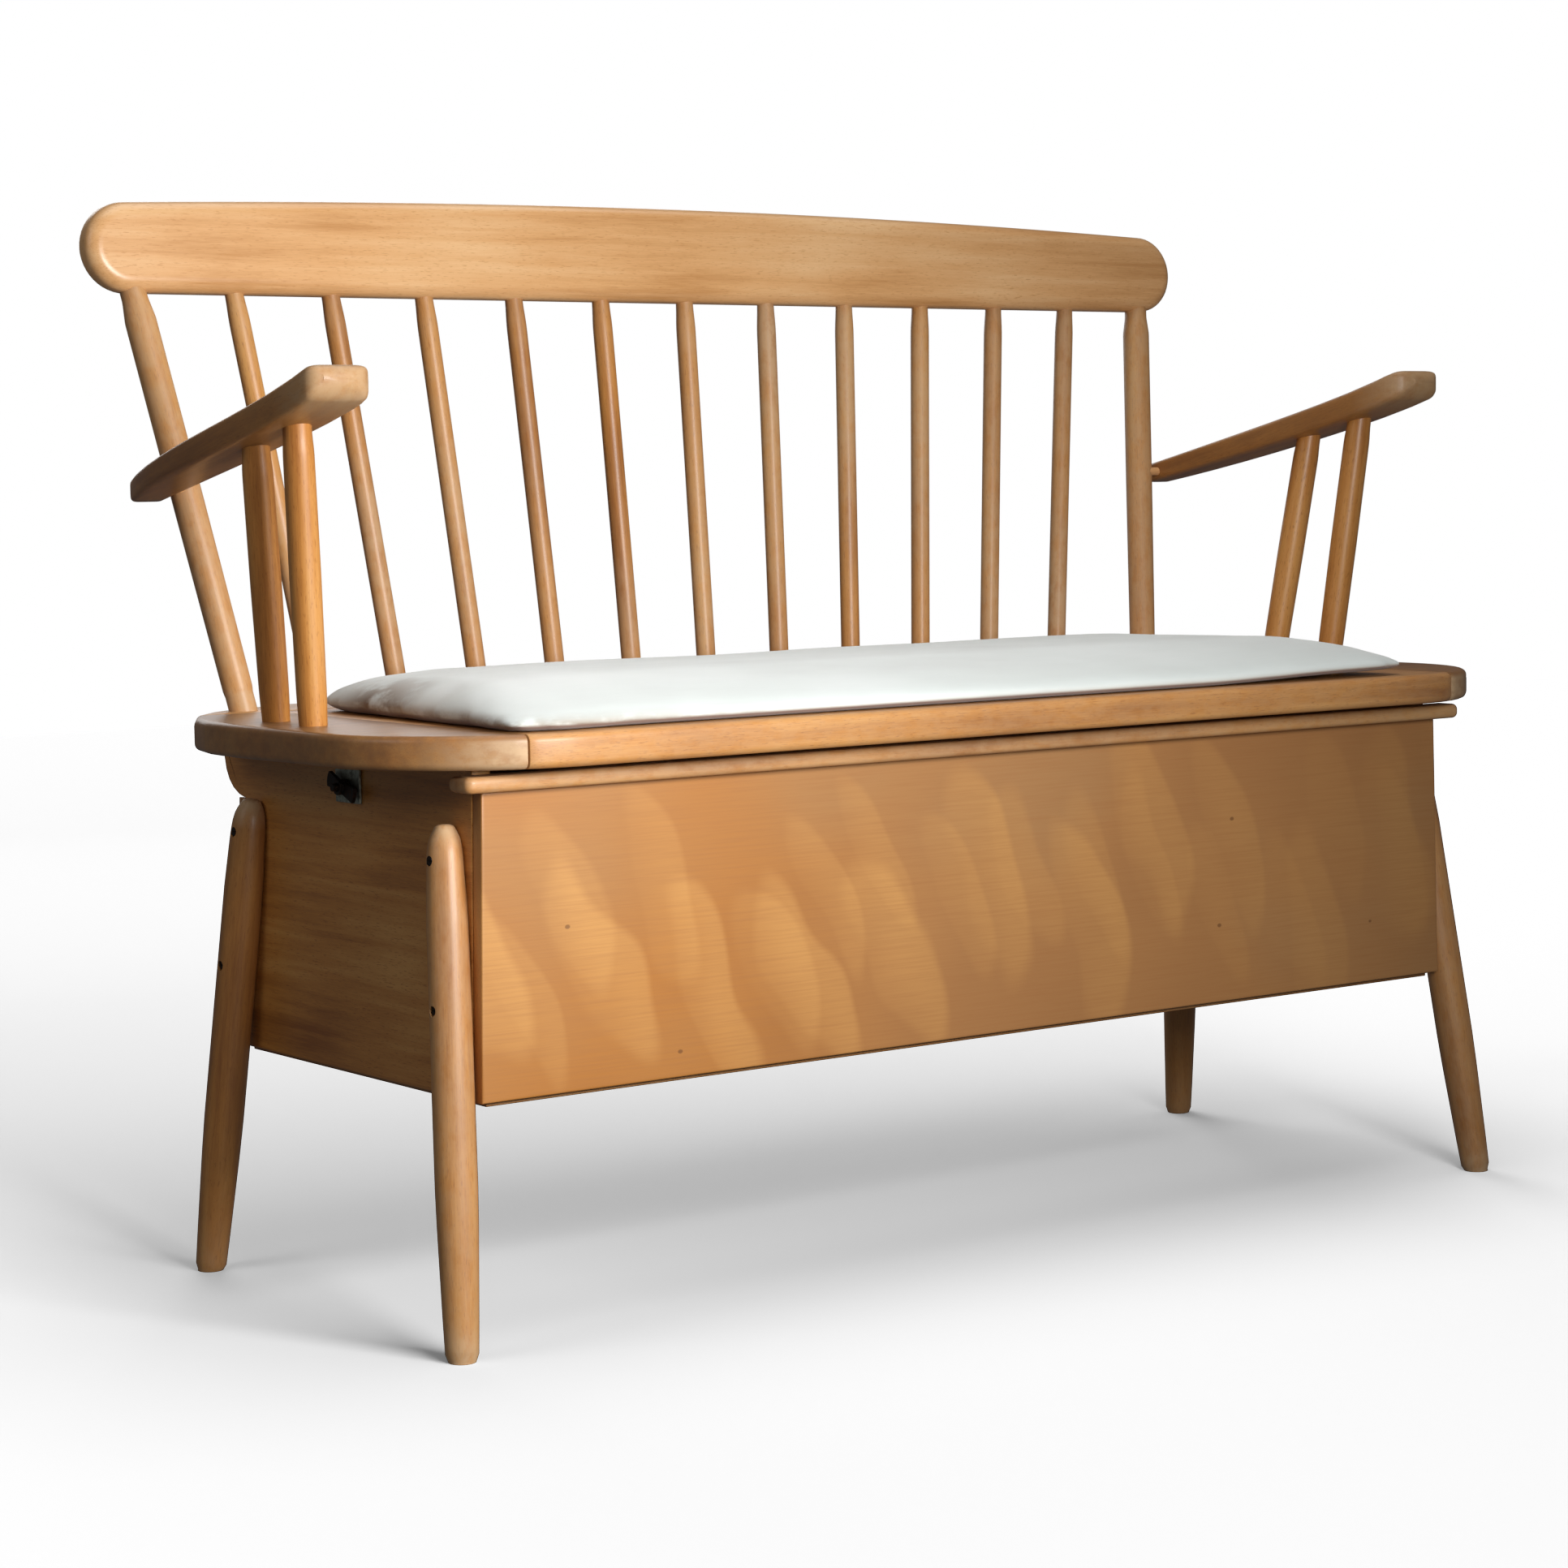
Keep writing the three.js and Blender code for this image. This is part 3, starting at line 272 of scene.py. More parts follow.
def slab(name, loop, place, thickness, rounding, steps=6):
    """A board from its outline, counter-clockwise seen from the end of place's third axis."""
    profile = [(rounding + SUPPORT, 0.0)]
    for k in range(steps + 1):
        angle = math.pi / 2 * k / steps
        profile.append((rounding * (1 - math.sin(angle)), rounding * (1 - math.cos(angle))))
    profile += [(inset, thickness - height) for inset, height in reversed(profile)]
    rings = []
    for inset, height in profile:
        rings.append([place @ Vector((p.x, p.y, height)) for p in inset_loop(loop, inset)])
    obj = skin_rings(name, rings)
    divide(obj, place.col[0].xyz)
    divide(obj, place.col[1].xyz)
    return obj


def divide(obj, direction):
    """Cuts a board into even strips, so that its flat faces have no long thin triangles."""
    bm = bmesh.new()
    bm.from_mesh(obj.data)
    reach = [v.co.dot(direction) for v in bm.verts]
    low, high = min(reach), max(reach)
    strips = max(1, round((high - low) / GRID))
    for k in range(1, strips):
        level = low + (high - low) * (k + GRID_SHIFT) / strips
        geometry = bm.verts[:] + bm.edges[:] + bm.faces[:]
        bmesh.ops.bisect_plane(bm, geom=geometry, plane_co=direction * level, plane_no=direction)
    bm.to_mesh(obj.data)
    bm.free()


# ------------------------------------------------------------------ turned pieces
def ring_centre(points, direction):
    """The middle of the ring of corners that lies furthest in a direction."""
    reach = points @ np.array(direction)
    return Vector(points[reach > reach.max() - END_RING].mean(0))


def turned_axis(points):
    """The two ends of a turned piece's axis, found from its end rings."""
    direction = Vector((0, 0, 1))
    for _ in range(AXIS_PASSES):
        foot, top = ring_centre(points, -direction), ring_centre(points, direction)
        direction = (top - foot).normalized()
    return foot, top


def leg_axis(points):
    """The middle of a leg's foot on the floor, and the end of its axis at the top."""
    floor = points[points[:, 2] < 0.5 * MM]
    foot = Vector((floor.min(0) + floor.max(0)) / 2)
    foot.z = 0
    direction = Vector((0, 0, 1))
    for _ in range(AXIS_PASSES):
        top = ring_centre(points, direction)
        direction = (top - foot).normalized()
    return foot, top


def turned_profile(points, foot, top, least=6):
    """Distance along the axis and radius of each ring of a turned CAD solid."""
    axis = np.array((top - foot).normalized())
    along = (points - np.array(foot)) @ axis
    radius = np.linalg.norm(points - np.array(foot) - along[:, None] * axis, axis=1)
    order = np.argsort(along)
    groups = np.split(order, np.where(np.diff(along[order]) > RING_GAP)[0] + 1)
    rings = [(along[g].mean(), radius[g].max()) for g in groups if len(g) >= least]
    return np.array(rings)


def smooth_radius(profile, stations, blur):
    """The radius at each station, eased between the rings with a bell-shaped weight."""
    offsets = np.linspace(-2, 2, 9)
    weights = np.exp(-offsets ** 2 / 2)
    total = sum(w * np.interp(stations + o * blur, *profile.T) for o, w in zip(offsets, weights))
    return total / weights.sum()


def turned_piece(node, seed, blur=4 * MM, step=5 * MM, wear=None):
    """A spindle or post, turned again over its CAD solid."""
    points = cad_points(node)
    foot, top = turned_axis(points)
    axis = (top - foot).normalized()
    length = (top - foot).length
    stations = np.linspace(0, length, int(length / step))
    radii = smooth_radius(turned_profile(points, foot, top), stations, blur)
    rings = lathe_rings(foot, axis, stations, radii)
    obj = skin_rings(f"{node}_turned", rings)
    worn = None if wear is None else wear(mesh_points(obj.data))
    settle(obj, node, axis, seed, worn)


def lathe_rings(foot, axis, stations, radii):
    """A round ring for each station along an axis."""
    across = axis.orthogonal().normalized()
    other = axis.cross(across)
    rings = []
    for station, radius in zip(stations, radii):
        centre = foot + axis * float(station)
        ring = []
        for i in range(TURNED_SIDES):
            angle = 2 * math.pi * i / TURNED_SIDES
            ring.append(centre + (across * math.cos(angle) + other * math.sin(angle)) * float(radius))
        rings.append(ring)
    return rings


def panel_plane(name, side):
    """A point on a side panel's outer face and the face's outward normal."""
    points = cad_points(f"side_panel_{name}")
    outward = points[:, 0] * side
    low = outward[points[:, 2] < points[:, 2].min() + MM].max()
    high = outward[points[:, 2] > points[:, 2].max() - MM].max()
    height = points[:, 2].max() - points[:, 2].min()
    tilt = math.atan2(low - high, height)
    normal = Vector((side * math.cos(tilt), 0, math.sin(tilt)))
    return Vector((side * low, 0, points[:, 2].min())), normal


def leg_radii(points, foot, top, stations):
    """A leg's radius at each station, with a rounded foot and a domed top."""
    length = (top - foot).length
    radii = smooth_radius(turned_profile(points, foot, top, 8), stations, LEG_BLUR)
    near_floor = np.clip(1 - stations / FOOT_ROUNDING, 0, 1)
    radii = radii * (1 - FOOT_NARROWING * near_floor ** 2)
    below_dome = radii[LEG_STATIONS - 10]
    dome = np.clip((stations - (length - LEG_DOME)) / LEG_DOME, 0, 1)
    return np.minimum(radii, below_dome * np.cbrt(1 - 0.97 * dome ** 3))


def plane_leg(ring, axis, face, normal):
    """A leg's ring, cut flat where it meets the side panel and the floor."""
    planed = []
    for p in ring:
        depth = (face - p).dot(normal) + LEG_CLEARANCE
        if depth > 0 and p.z > face.z - 2 * MM:
            p = p + normal * depth
        if p.z < 0:
            p = p - axis * (p.z / axis.z)
        planed.append(p)
    return planed


def leg_wear(height, end):
    """The varnish is gone at the foot and thin at the top, more so in front."""
    foot_wear = 0.85 if end == "front" else 0.25
    wear = np.clip(1 - height / 0.05, 0, 1) * foot_wear
    wear = wear + np.clip((height - LEG_TOP_FADE) / 0.02, 0, 1) * 0.9
    if end == "front":
        wear = np.maximum(wear, 0.3)
    return np.clip(wear, 0, 1)


def leg_piece(end, name, side, seed):
    """A turned leg, planed flat against the side panel, with its two screw holes."""
    node = f"leg_{end}_{name}"
    points = cad_points(node)
    foot, top = leg_axis(points)
    axis = (top - foot).normalized()
    length = (top - foot).length
    stations = np.concatenate([[-3 * MM, -1 * MM],
                               np.linspace(0, length - 12 * MM, LEG_STATIONS),
                               np.linspace(length - 11 * MM, length, 9)])
    radii = leg_radii(points, foot, top, stations)
    face, normal = panel_plane(name, side)
    rings = [plane_leg(ring, axis, face, normal)
             for ring in lathe_rings(foot, axis, stations, radii)]
    obj = skin_rings(f"{node}_turned", rings)
    for level in ("lower", "upper"):
        drill(obj, *screw_hole(f"leg_screw_{end}_{name}_{level}", side, normal))
    height = mesh_points(obj.data)[:, 2]
    # Painted shade on the rear legs: their larger value darkens them as if they stood in the box's
    # shadow; the front legs' small value is real soil.
    soil_and_shade = np.full(len(height), 0.08 if end == "front" else 0.35)
    settle(obj, node, axis, seed, leg_wear(height, end), soil_and_shade)


def screw_hole(node, side, normal):
    """Start and end of the recess over a screw's head: outside the leg, and at the head."""
    lo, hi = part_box(node)
    outer = hi.x if side > 0 else lo.x
    head = Vector((outer, (lo.y + hi.y) / 2, hi.z - SCREW_HOLE_RADIUS))
    return head + normal * SCREW_HOLE_REACH, head - normal * SCREW_HOLE_DEPTH


def drill(obj, start, end):
    """Bores a round blind hole from start to end."""
    axis = end - start
    rings = lathe_rings(start, axis.normalized(), [0, axis.length], [SCREW_HOLE_RADIUS] * 2)
    tool = skin_rings("drill", rings)
    cutter = obj.modifiers.new("drill", "BOOLEAN")
    cutter.operation = "DIFFERENCE"
    cutter.solver = "EXACT"
    cutter.object = tool
    apply_modifiers(obj)
    bpy.data.objects.remove(tool)


# ------------------------------------------------------------------ the seat
SEAM_REACH = 2 * MM  # outline points this near to a sawn seam are not on the outer edge
SAWN_ANGLE = math.radians(60)  # edges that turn more than this were left by the saw
RUBBED_FROM = 0.469  # distance from the middle at which the seat ends are rubbed most
RUBBED_FRONT = -0.19  # only what lies in front of this is rubbed


def seat_outline(height):
    """The whole seat's outer edge, from the boards that it is sawn into."""
    boards = ("seat_lid", "seat_end_left", "seat_end_right", "seat_back_board")
    loops = {b: section_loops(b, Vector((0, 0, height)), Vector((0, 0, 1)))[0] for b in boards}
    lid_lo, lid_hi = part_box("seat_lid")
    seam_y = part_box("seat_back_board")[0].y
    points = []
    for loop in loops.values():
        for p in loop:
            on_end_seam = abs(abs(p.x) - lid_hi.x) < SEAM_REACH
            on_rear_seam = -3 * SEAM_REACH < p.y - seam_y < SEAM_REACH / 2
            if not (on_end_seam or on_rear_seam):
                points.append(p.xy)
    centre = Vector((0, (lid_lo.y + lid_hi.y) / 2))
    points.sort(key=lambda p: math.atan2((p - centre).y, (p - centre).x))
    return tidy_loop(points)


def saw(obj, cuts):
    """Keeps what lies behind each plane and closes the sawn faces with a slightly broken edge."""
    bm = bmesh.new()
    bm.from_mesh(obj.data)
    for origin, normal in cuts:
        geometry = bm.verts[:] + bm.edges[:] + bm.faces[:]
        bmesh.ops.bisect_plane(bm, geom=geometry, plane_co=origin, plane_no=normal,
                               clear_outer=True)
        open_edges = [e for e in bm.edges if e.is_boundary]
        bmesh.ops.edgeloop_fill(bm, edges=open_edges)
    bmesh.ops.recalc_face_normals(bm, faces=bm.faces)
    sharp = [e for e in bm.edges if e.is_manifold and e.calc_face_angle() > SAWN_ANGLE]
    bmesh.ops.bevel(bm, geom=sharp, offset=SEAM_BEVEL, segments=2, affect="EDGES", profile=0.5)
    bm.to_mesh(obj.data)
    bm.free()


def board_wear(points, side):
    """The front edge of each seat end is rubbed pale, most of all beside the lid."""
    near_seam = np.clip(1 - (points[:, 0] * side - RUBBED_FROM) / 0.05, 0, 1)
    front = np.clip((RUBBED_FRONT - points[:, 1]) / 0.03, 0, 1)
    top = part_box("seat_lid")[1].z
    edge = np.clip((top - 2 * MM - points[:, 2]) / (4 * MM), 0, 1)
    return front * edge * (0.3 + 0.7 * near_seam)


def seat():
    """The lid, the board behind it and the two ends, all sawn from one rounded shape."""
    lo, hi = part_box("seat_lid")
    outline = seat_outline((lo.z + hi.z) / 2)
    place = Matrix.Translation((0, 0, lo.z))
    seam = Vector((0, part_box("seat_back_board")[0].y, 0))
    x_axis, y_axis = Vector((1, 0, 0)), Vector((0, 1, 0))
    rear = Vector((0, hi.y, 0))
    plans = [("seat_lid", 0, [(hi, x_axis), (lo, -x_axis), (rear, y_axis)]),
             ("seat_back_board", 0, [(seam, -y_axis)])]
    for name, side in SIDES.items():
        node = f"seat_end_{name}"
        end_lo, end_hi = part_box(node)
        inner = end_lo if side > 0 else end_hi
        end_rear = Vector((0, end_hi.y, 0))
        plans.append((node, side, [(inner, -side * x_axis), (end_rear, y_axis)]))
    for seed, (node, side, cuts) in enumerate(plans):
        obj = slab(f"{node}_board", outline, place, hi.z - lo.z, SEAT_ROUNDING)
        saw(obj, cuts)
        points = mesh_points(obj.data)
        wear = board_wear(points, side) if side else np.full(len(points), SEAT_FADE)
        soil_and_shade = np.full(len(points), SEAT_END_SOIL if side else SEAT_SOIL)
        settle(obj, node, x_axis, 3 + seed * 2, wear, soil_and_shade)


# ------------------------------------------------------------------ the crest rail
def crest():
    """A long board with half-round ends and an arched top, leaning back with the spindles."""
    node = "crest_rail"
    points = cad_points(node)
    lean = crest_lean(points)
    up = Vector((0, math.sin(lean), math.cos(lean)))
    out = Vector((0, -math.cos(lean), math.sin(lean)))
    heights, depths = points @ np.array(up), points @ np.array(out)
    base, half = heights.min(), points[:, 0].max()
    end_radius = float(heights[points[:, 0] > half - 0.01 * MM].mean() - base)
    tall = float(heights.max() - base)
    thickness = float(depths.max() - depths.min())
    loop = crest_outline(half - end_radius, end_radius, tall)
    place = Matrix((Vector((1, 0, 0)), up, out)).transposed().to_4x4()
    place.translation = up * base + out * float(depths.min())
    obj = slab(f"{node}_board", loop, place, thickness, CREST_ROUNDING, 8)
    settle(obj, node, (1, 0, 0), 11)


def crest_outline(corner, radius, tall):
    """A half-round end about each corner, joined by a straight foot and an arched top."""
    def half_round(centre, start):
        points = []
        for k in range(CREST_END_STEPS + 1):
            angle = start + math.pi * k / CREST_END_STEPS
            points.append(Vector((centre + radius * math.cos(angle),
                                  radius * (1 + math.sin(angle)))))
        return points

    arch = []
    for k in range(1, CREST_TOP_STEPS):
        x = corner * (1 - 2 * k / CREST_TOP_STEPS)
        rise = (tall - 2 * radius) * (1 - (x / corner) ** 2)
        arch.append(Vector((x, 2 * radius + rise)))
    return half_round(corner, -math.pi / 2) + arch + half_round(-corner, math.pi / 2)


def crest_lean(points):
    """The lean that makes the rail thinnest, because its two faces are flat."""
    leans = [math.radians(degrees) for degrees in np.arange(0, 12, 0.25)]

    def depth(lean):
        reach = points @ np.array((0, -math.cos(lean), math.sin(lean)))
        return reach.max() - reach.min()

    return min(leans, key=depth)


# ------------------------------------------------------------------ the arms
def arm_sections(node):
    """Where sections are taken along the arm: close together where it rounds over."""
    lo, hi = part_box(node)
    sections = []
    tip = lo.y + ARM_TIP * (1 - np.cos(np.linspace(0.14, math.pi / 2, 10)))
    middle = np.linspace(lo.y + ARM_TIP, hi.y - ARM_BUTT, 36)[1:]
    butt = hi.y - ARM_BUTT * (1 - np.sin(np.linspace(0, 1.45, 5)))[1:]
    for y in np.concatenate([tip, middle, butt]):
        inside = float(min(max(y, lo.y + ARM_MARGIN), hi.y - ARM_MARGIN))
        loop = section_loops(node, Vector((0, inside, 0)), Vector((0, 1, 0)))[0]
        corners = np.array([p[:] for p in loop])
        round_tip = min((y - lo.y) / ARM_TIP, 1)
        round_butt = min((hi.y - y) / ARM_BUTT, 1)
        swell = math.sqrt(1 - (1 - round_tip) ** 2) * math.sqrt(1 - (1 - round_butt) ** 2)
        sections.append((float(y), corners.min(0), corners.max(0), swell))
    return sections


def arm(name, seed):
    """A paddle arm: soft superelliptic sections along its length, and a rounded front end."""
    node = f"arm_{name}"
    power = 2 / ARM_SOFTNESS
    rings = []
    for y, low, high, swell in arm_sections(node):
        centre = (low + high) / 2
        half_x = (high[0] - low[0]) / 2 * (0.9 + 0.1 * swell)
        half_z = (high[2] - low[2]) / 2 * max(swell, 0.05)
        ring = []
        for i in range(ARM_SIDES):
            cosine = math.cos(2 * math.pi * i / ARM_SIDES)
            sine = math.sin(2 * math.pi * i / ARM_SIDES)
            x = centre[0] + half_x * math.copysign(abs(cosine) ** power, cosine)
            z = centre[2] + half_z * math.copysign(abs(sine) ** power, sine)
            ring.append(Vector((x, y, z)))
        rings.append(ring)
    obj = skin_rings(f"{node}_paddle", rings)
    points = mesh_points(obj.data)
    front = points[:, 1].min()
    wear = np.clip((front + 0.06 - points[:, 1]) / 0.05, 0, 1) * 0.6
    soil_and_shade = np.full(len(points), ARM_SOIL)
    direction = rings[8][0] - rings[40][0]  # between two sections of the arm's straight run
    settle(obj, node, (0, direction.y, direction.z), seed, wear, soil_and_shade)


# ------------------------------------------------------------------ the box
def side_panel(name, side, seed):
    """One leaning end of the box, a solid board."""
    node = f"side_panel_{name}"
    face, normal = panel_plane(name, side)
    points = cad_points(node)
    depth = points @ np.array(normal)
    thickness = float(depth.max() - depth.min()) - PLANING
    back = Vector((0, 1, 0))
    up = normal.cross(back) * side
    middle = face - normal * thickness / 2
    loop = section_loops(node, middle, normal)[0]
    flat = tidy_loop([Vector((p.dot(back) * side, p.dot(up))) for p in loop])
    place = Matrix((back * side, up, normal)).transposed().to_4x4()
    place.translation = normal * (face.dot(normal) - thickness)
    obj = slab(f"{node}_board", flat, place, thickness, PANEL_ROUNDING, 3)
    settle(obj, node, (0, 1, 0), seed)


def upright_panel(node, seed):
    """A plywood sheet that stands across the bench."""
    lo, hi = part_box(node)
    loop = section_loops(node, (lo + hi) / 2, Vector((0, 1, 0)))[0]
    flat = tidy_loop([Vector((p.x, p.z)) for p in loop])
    place = Matrix(((1, 0, 0), (0, 0, -1), (0, 1, 0))).to_4x4()
    place.translation = (0, hi.y, 0)
    obj = slab(f"{node}_ply", flat, place, hi.y - lo.y, PANEL_ROUNDING, 3)
    settle(obj, node, (1, 0, 0), seed)


def level_board(node, rounding, seed, suffix, fade):
    """A board that lies level: the rail under the lid, or the box's bottom."""
    lo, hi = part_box(node)
    loop = section_loops(node, (lo + hi) / 2, Vector((0, 0, 1)))[0]
    place = Matrix.Translation((0, 0, lo.z))
    obj = slab(f"{node}_{suffix}", tidy_loop(loop), place, hi.z - lo.z, rounding, 5)
    wear = np.full(len(obj.data.vertices), fade)
    settle(obj, node, (1, 0, 0), seed, wear)


# ------------------------------------------------------------------ the cushion
CUSHION_VOXEL = 6 * MM
CUSHION_SHRINK = 1 * MM  # how much smaller the pad starts, all round
CUSHION_SWELL = 3 * MM  # the furthest that the filling moves the cloth
CUSHION_PRESSURE = 4.0
CUSHION_FRAMES = 20
SIDE_DRAW = 3 * MM  # how far the long sides draw in between the corners
END_DRAW = 4 * MM
FRONT_SHARE = 0.66  # height of the pad's front edge, against its middle
FRONT_REACH = 0.13  # how far back the pad keeps rising
FOLD = 1.3 * MM
RIPPLE = 1.1 * MM
CORNER_LIFT = 4 * MM  # the front right corner curls up
CORNER_REACH = 0.22  # how far from the corner the curl reaches
LOW_EDGE = 13 * MM  # height up to which the pad's sides are stained


def cushion():
    """The thin pad on the lid: filled by simulation, then laid down and creased."""
    node = "seat_cushion"
    lo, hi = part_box(node)
    obj = link("seat_cushion_pad", NODES[node].data.copy())
    obj.data.materials.clear()
    remesh = obj.modifiers.new("remesh", "REMESH")
    remesh.mode = "VOXEL"
    remesh.voxel_size = CUSHION_VOXEL
    apply_modifiers(obj)
    points = mesh_points(obj.data)
    centre = (np.array(lo) + np.array(hi)) / 2
    size = np.array(hi) - np.array(lo)
    scale = 1 - 2 * CUSHION_SHRINK / size * np.array([1, 1, 0.6])
    base = np.array([centre[0], centre[1], lo.z])
    points = (points - base) * scale + base
    relax(obj.data, points, 6)
    fill(obj)
    crease_and_settle(obj, lo, hi)
    finer = obj.modifiers.new("finer", "SUBSURF")
    finer.levels = finer.render_levels = 1
    apply_modifiers(obj)
    dress_cushion(obj, lo)
    obj.data.materials.clear()
    obj.data.materials.append(MATERIALS["cushion_fabric"])
    obj.data.shade_smooth()
    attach(obj, BODY_OF[node])
    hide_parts(node)


def relax(mesh, points, rounds):
    """Averages each corner with its neighbours, to take off the facets."""
    edges = np.array([e.vertices[:] for e in mesh.edges])
    count = np.bincount(edges.ravel(), minlength=len(points))[:, None]
    for _ in range(rounds):
        total = np.zeros_like(points)
        np.add.at(total, edges[:, 0], points[edges[:, 1]])
        np.add.at(total, edges[:, 1], points[edges[:, 0]])
        points = points * 0.5 + total / count * 0.5
    mesh.vertices.foreach_set("co", points.astype(np.float32).ravel())
    mesh.update()


def fill(obj):
    """Blows the cover out with its filling, and keeps each point within the swell."""
    start = mesh_points(obj.data).copy()
    cloth = obj.modifiers.new("filling", "CLOTH")
    cloth.settings.use_pressure = True
    cloth.settings.uniform_pressure_force = CUSHION_PRESSURE
    cloth.settings.effector_weights.gravity = 0
    cloth.settings.quality = 4
    scene = bpy.context.scene
    for number in range(1, CUSHION_FRAMES + 1):
        scene.frame_set(number)
    apply_modifiers(obj)
    scene.frame_set(1)
    moved = mesh_points(obj.data) - start
    far = np.linalg.norm(moved, axis=1, keepdims=True)
    points = start + moved * np.minimum(1, CUSHION_SWELL / np.maximum(far, 1e-9))
    relax(obj.data, points, 2)


def ease(share):
    """From 0 to 1 with a soft start and a soft end."""
    return share ** 2 * (3 - 2 * share)


def crease_and_settle(obj, lo, hi):
    """Lays the pad on the lid, draws its sides in between the corners and adds its soft folds."""
    points = mesh_points(obj.data).astype(float)
    low, high = points.min(0), points.max(0)
    for axis in (0, 1):
        share = (points[:, axis] - low[axis]) / (high[axis] - low[axis])
        points[:, axis] = lo[axis] + MM + share * (hi[axis] - lo[axis] - 2 * MM)
    middle_x, middle_y = (lo.x + hi.x) / 2, (lo.y + hi.y) / 2
    half_x, half_y = (hi.x - lo.x) / 2, (hi.y - lo.y) / 2
    sx = np.clip(np.abs(points[:, 0] - middle_x) / half_x, 0, 1)
    sy = np.clip(np.abs(points[:, 1] - middle_y) / half_y, 0, 1)
    points[:, 1] -= np.sign(points[:, 1] - middle_y) * SIDE_DRAW * sy ** 8 * (1 - sx ** 4)
    points[:, 0] -= np.sign(points[:, 0] - middle_x) * END_DRAW * sx ** 8 * (1 - sy ** 4)
    inward = np.clip((points[:, 1] - lo.y) / FRONT_REACH, 0, 1)
    slope = FRONT_SHARE + (1 - FRONT_SHARE) * ease(inward)
    points[:, 2] = lo.z + (points[:, 2] - lo.z) * slope
    height = np.clip((points[:, 2] - lo.z) / (hi.z - lo.z), 0, 1)
    for i, p in enumerate(points):
        fold = noise.noise(Vector((p[0] * 6, p[1] * 14, 3.0)))
        ripple = noise.noise(Vector((p[0] * 26, p[1] * 26, 8.0)))
        rim = max(sx[i], sy[i]) ** 6
        points[i, 2] += height[i] * (FOLD * fold + RIPPLE * ripple * rim)
    corner = np.hypot(points[:, 0] - (hi.x - 0.03), points[:, 1] - (lo.y + 0.02))
    lift = CORNER_LIFT * ease(np.clip(1 - corner / CORNER_REACH, 0, 1))
    points[:, 2] = np.maximum(points[:, 2] + lift, lo.z + lift)
    points[:, 2] = np.minimum(points[:, 2], hi.z + 2 * MM)
    obj.data.vertices.foreach_set("co", points.astype(np.float32).ravel())
    obj.data.update()


def dress_cushion(obj, lo):
    """Cloth coordinates, the stains at the front left corner, and painted shade darkening the underside.
    """
    points = mesh_points(obj.data)
    write_attribute(obj.data, "grain", points - np.array([lo.x, lo.y, lo.z]))
    from_left = points[:, 0] - lo.x
    from_front = points[:, 1] - lo.y
    low_edge = np.clip(1 - (points[:, 2] - lo.z) / LOW_EDGE, 0, 1)
    left_side = np.clip(1 - from_left / 0.06, 0, 1)
    front_side = np.clip(1 - from_left / 0.3, 0, 1) * np.clip(1 - from_front / 0.05, 0, 1)
    blot = np.clip(1 - np.hypot(from_left - 0.02, (from_front - 0.24) * 0.6) / 0.045, 0, 1)
    stain = np.maximum(np.maximum(left_side, front_side) * low_edge, blot * 0.9)
    write_attribute(obj.data, "stain", np.clip(stain * 1.4, 0, 1))
    # Painted shade: the more a face looks down, the more the material darkens it, standing in for the
    # shade under the pad.
    normals = np.empty(len(points) * 3, np.float32)
    obj.data.vertices.foreach_get("normal", normals)
    under = np.clip((-normals.reshape(-1, 3)[:, 2] - 0.35) * 2.5, 0, 1)
    write_attribute(obj.data, "under", under)


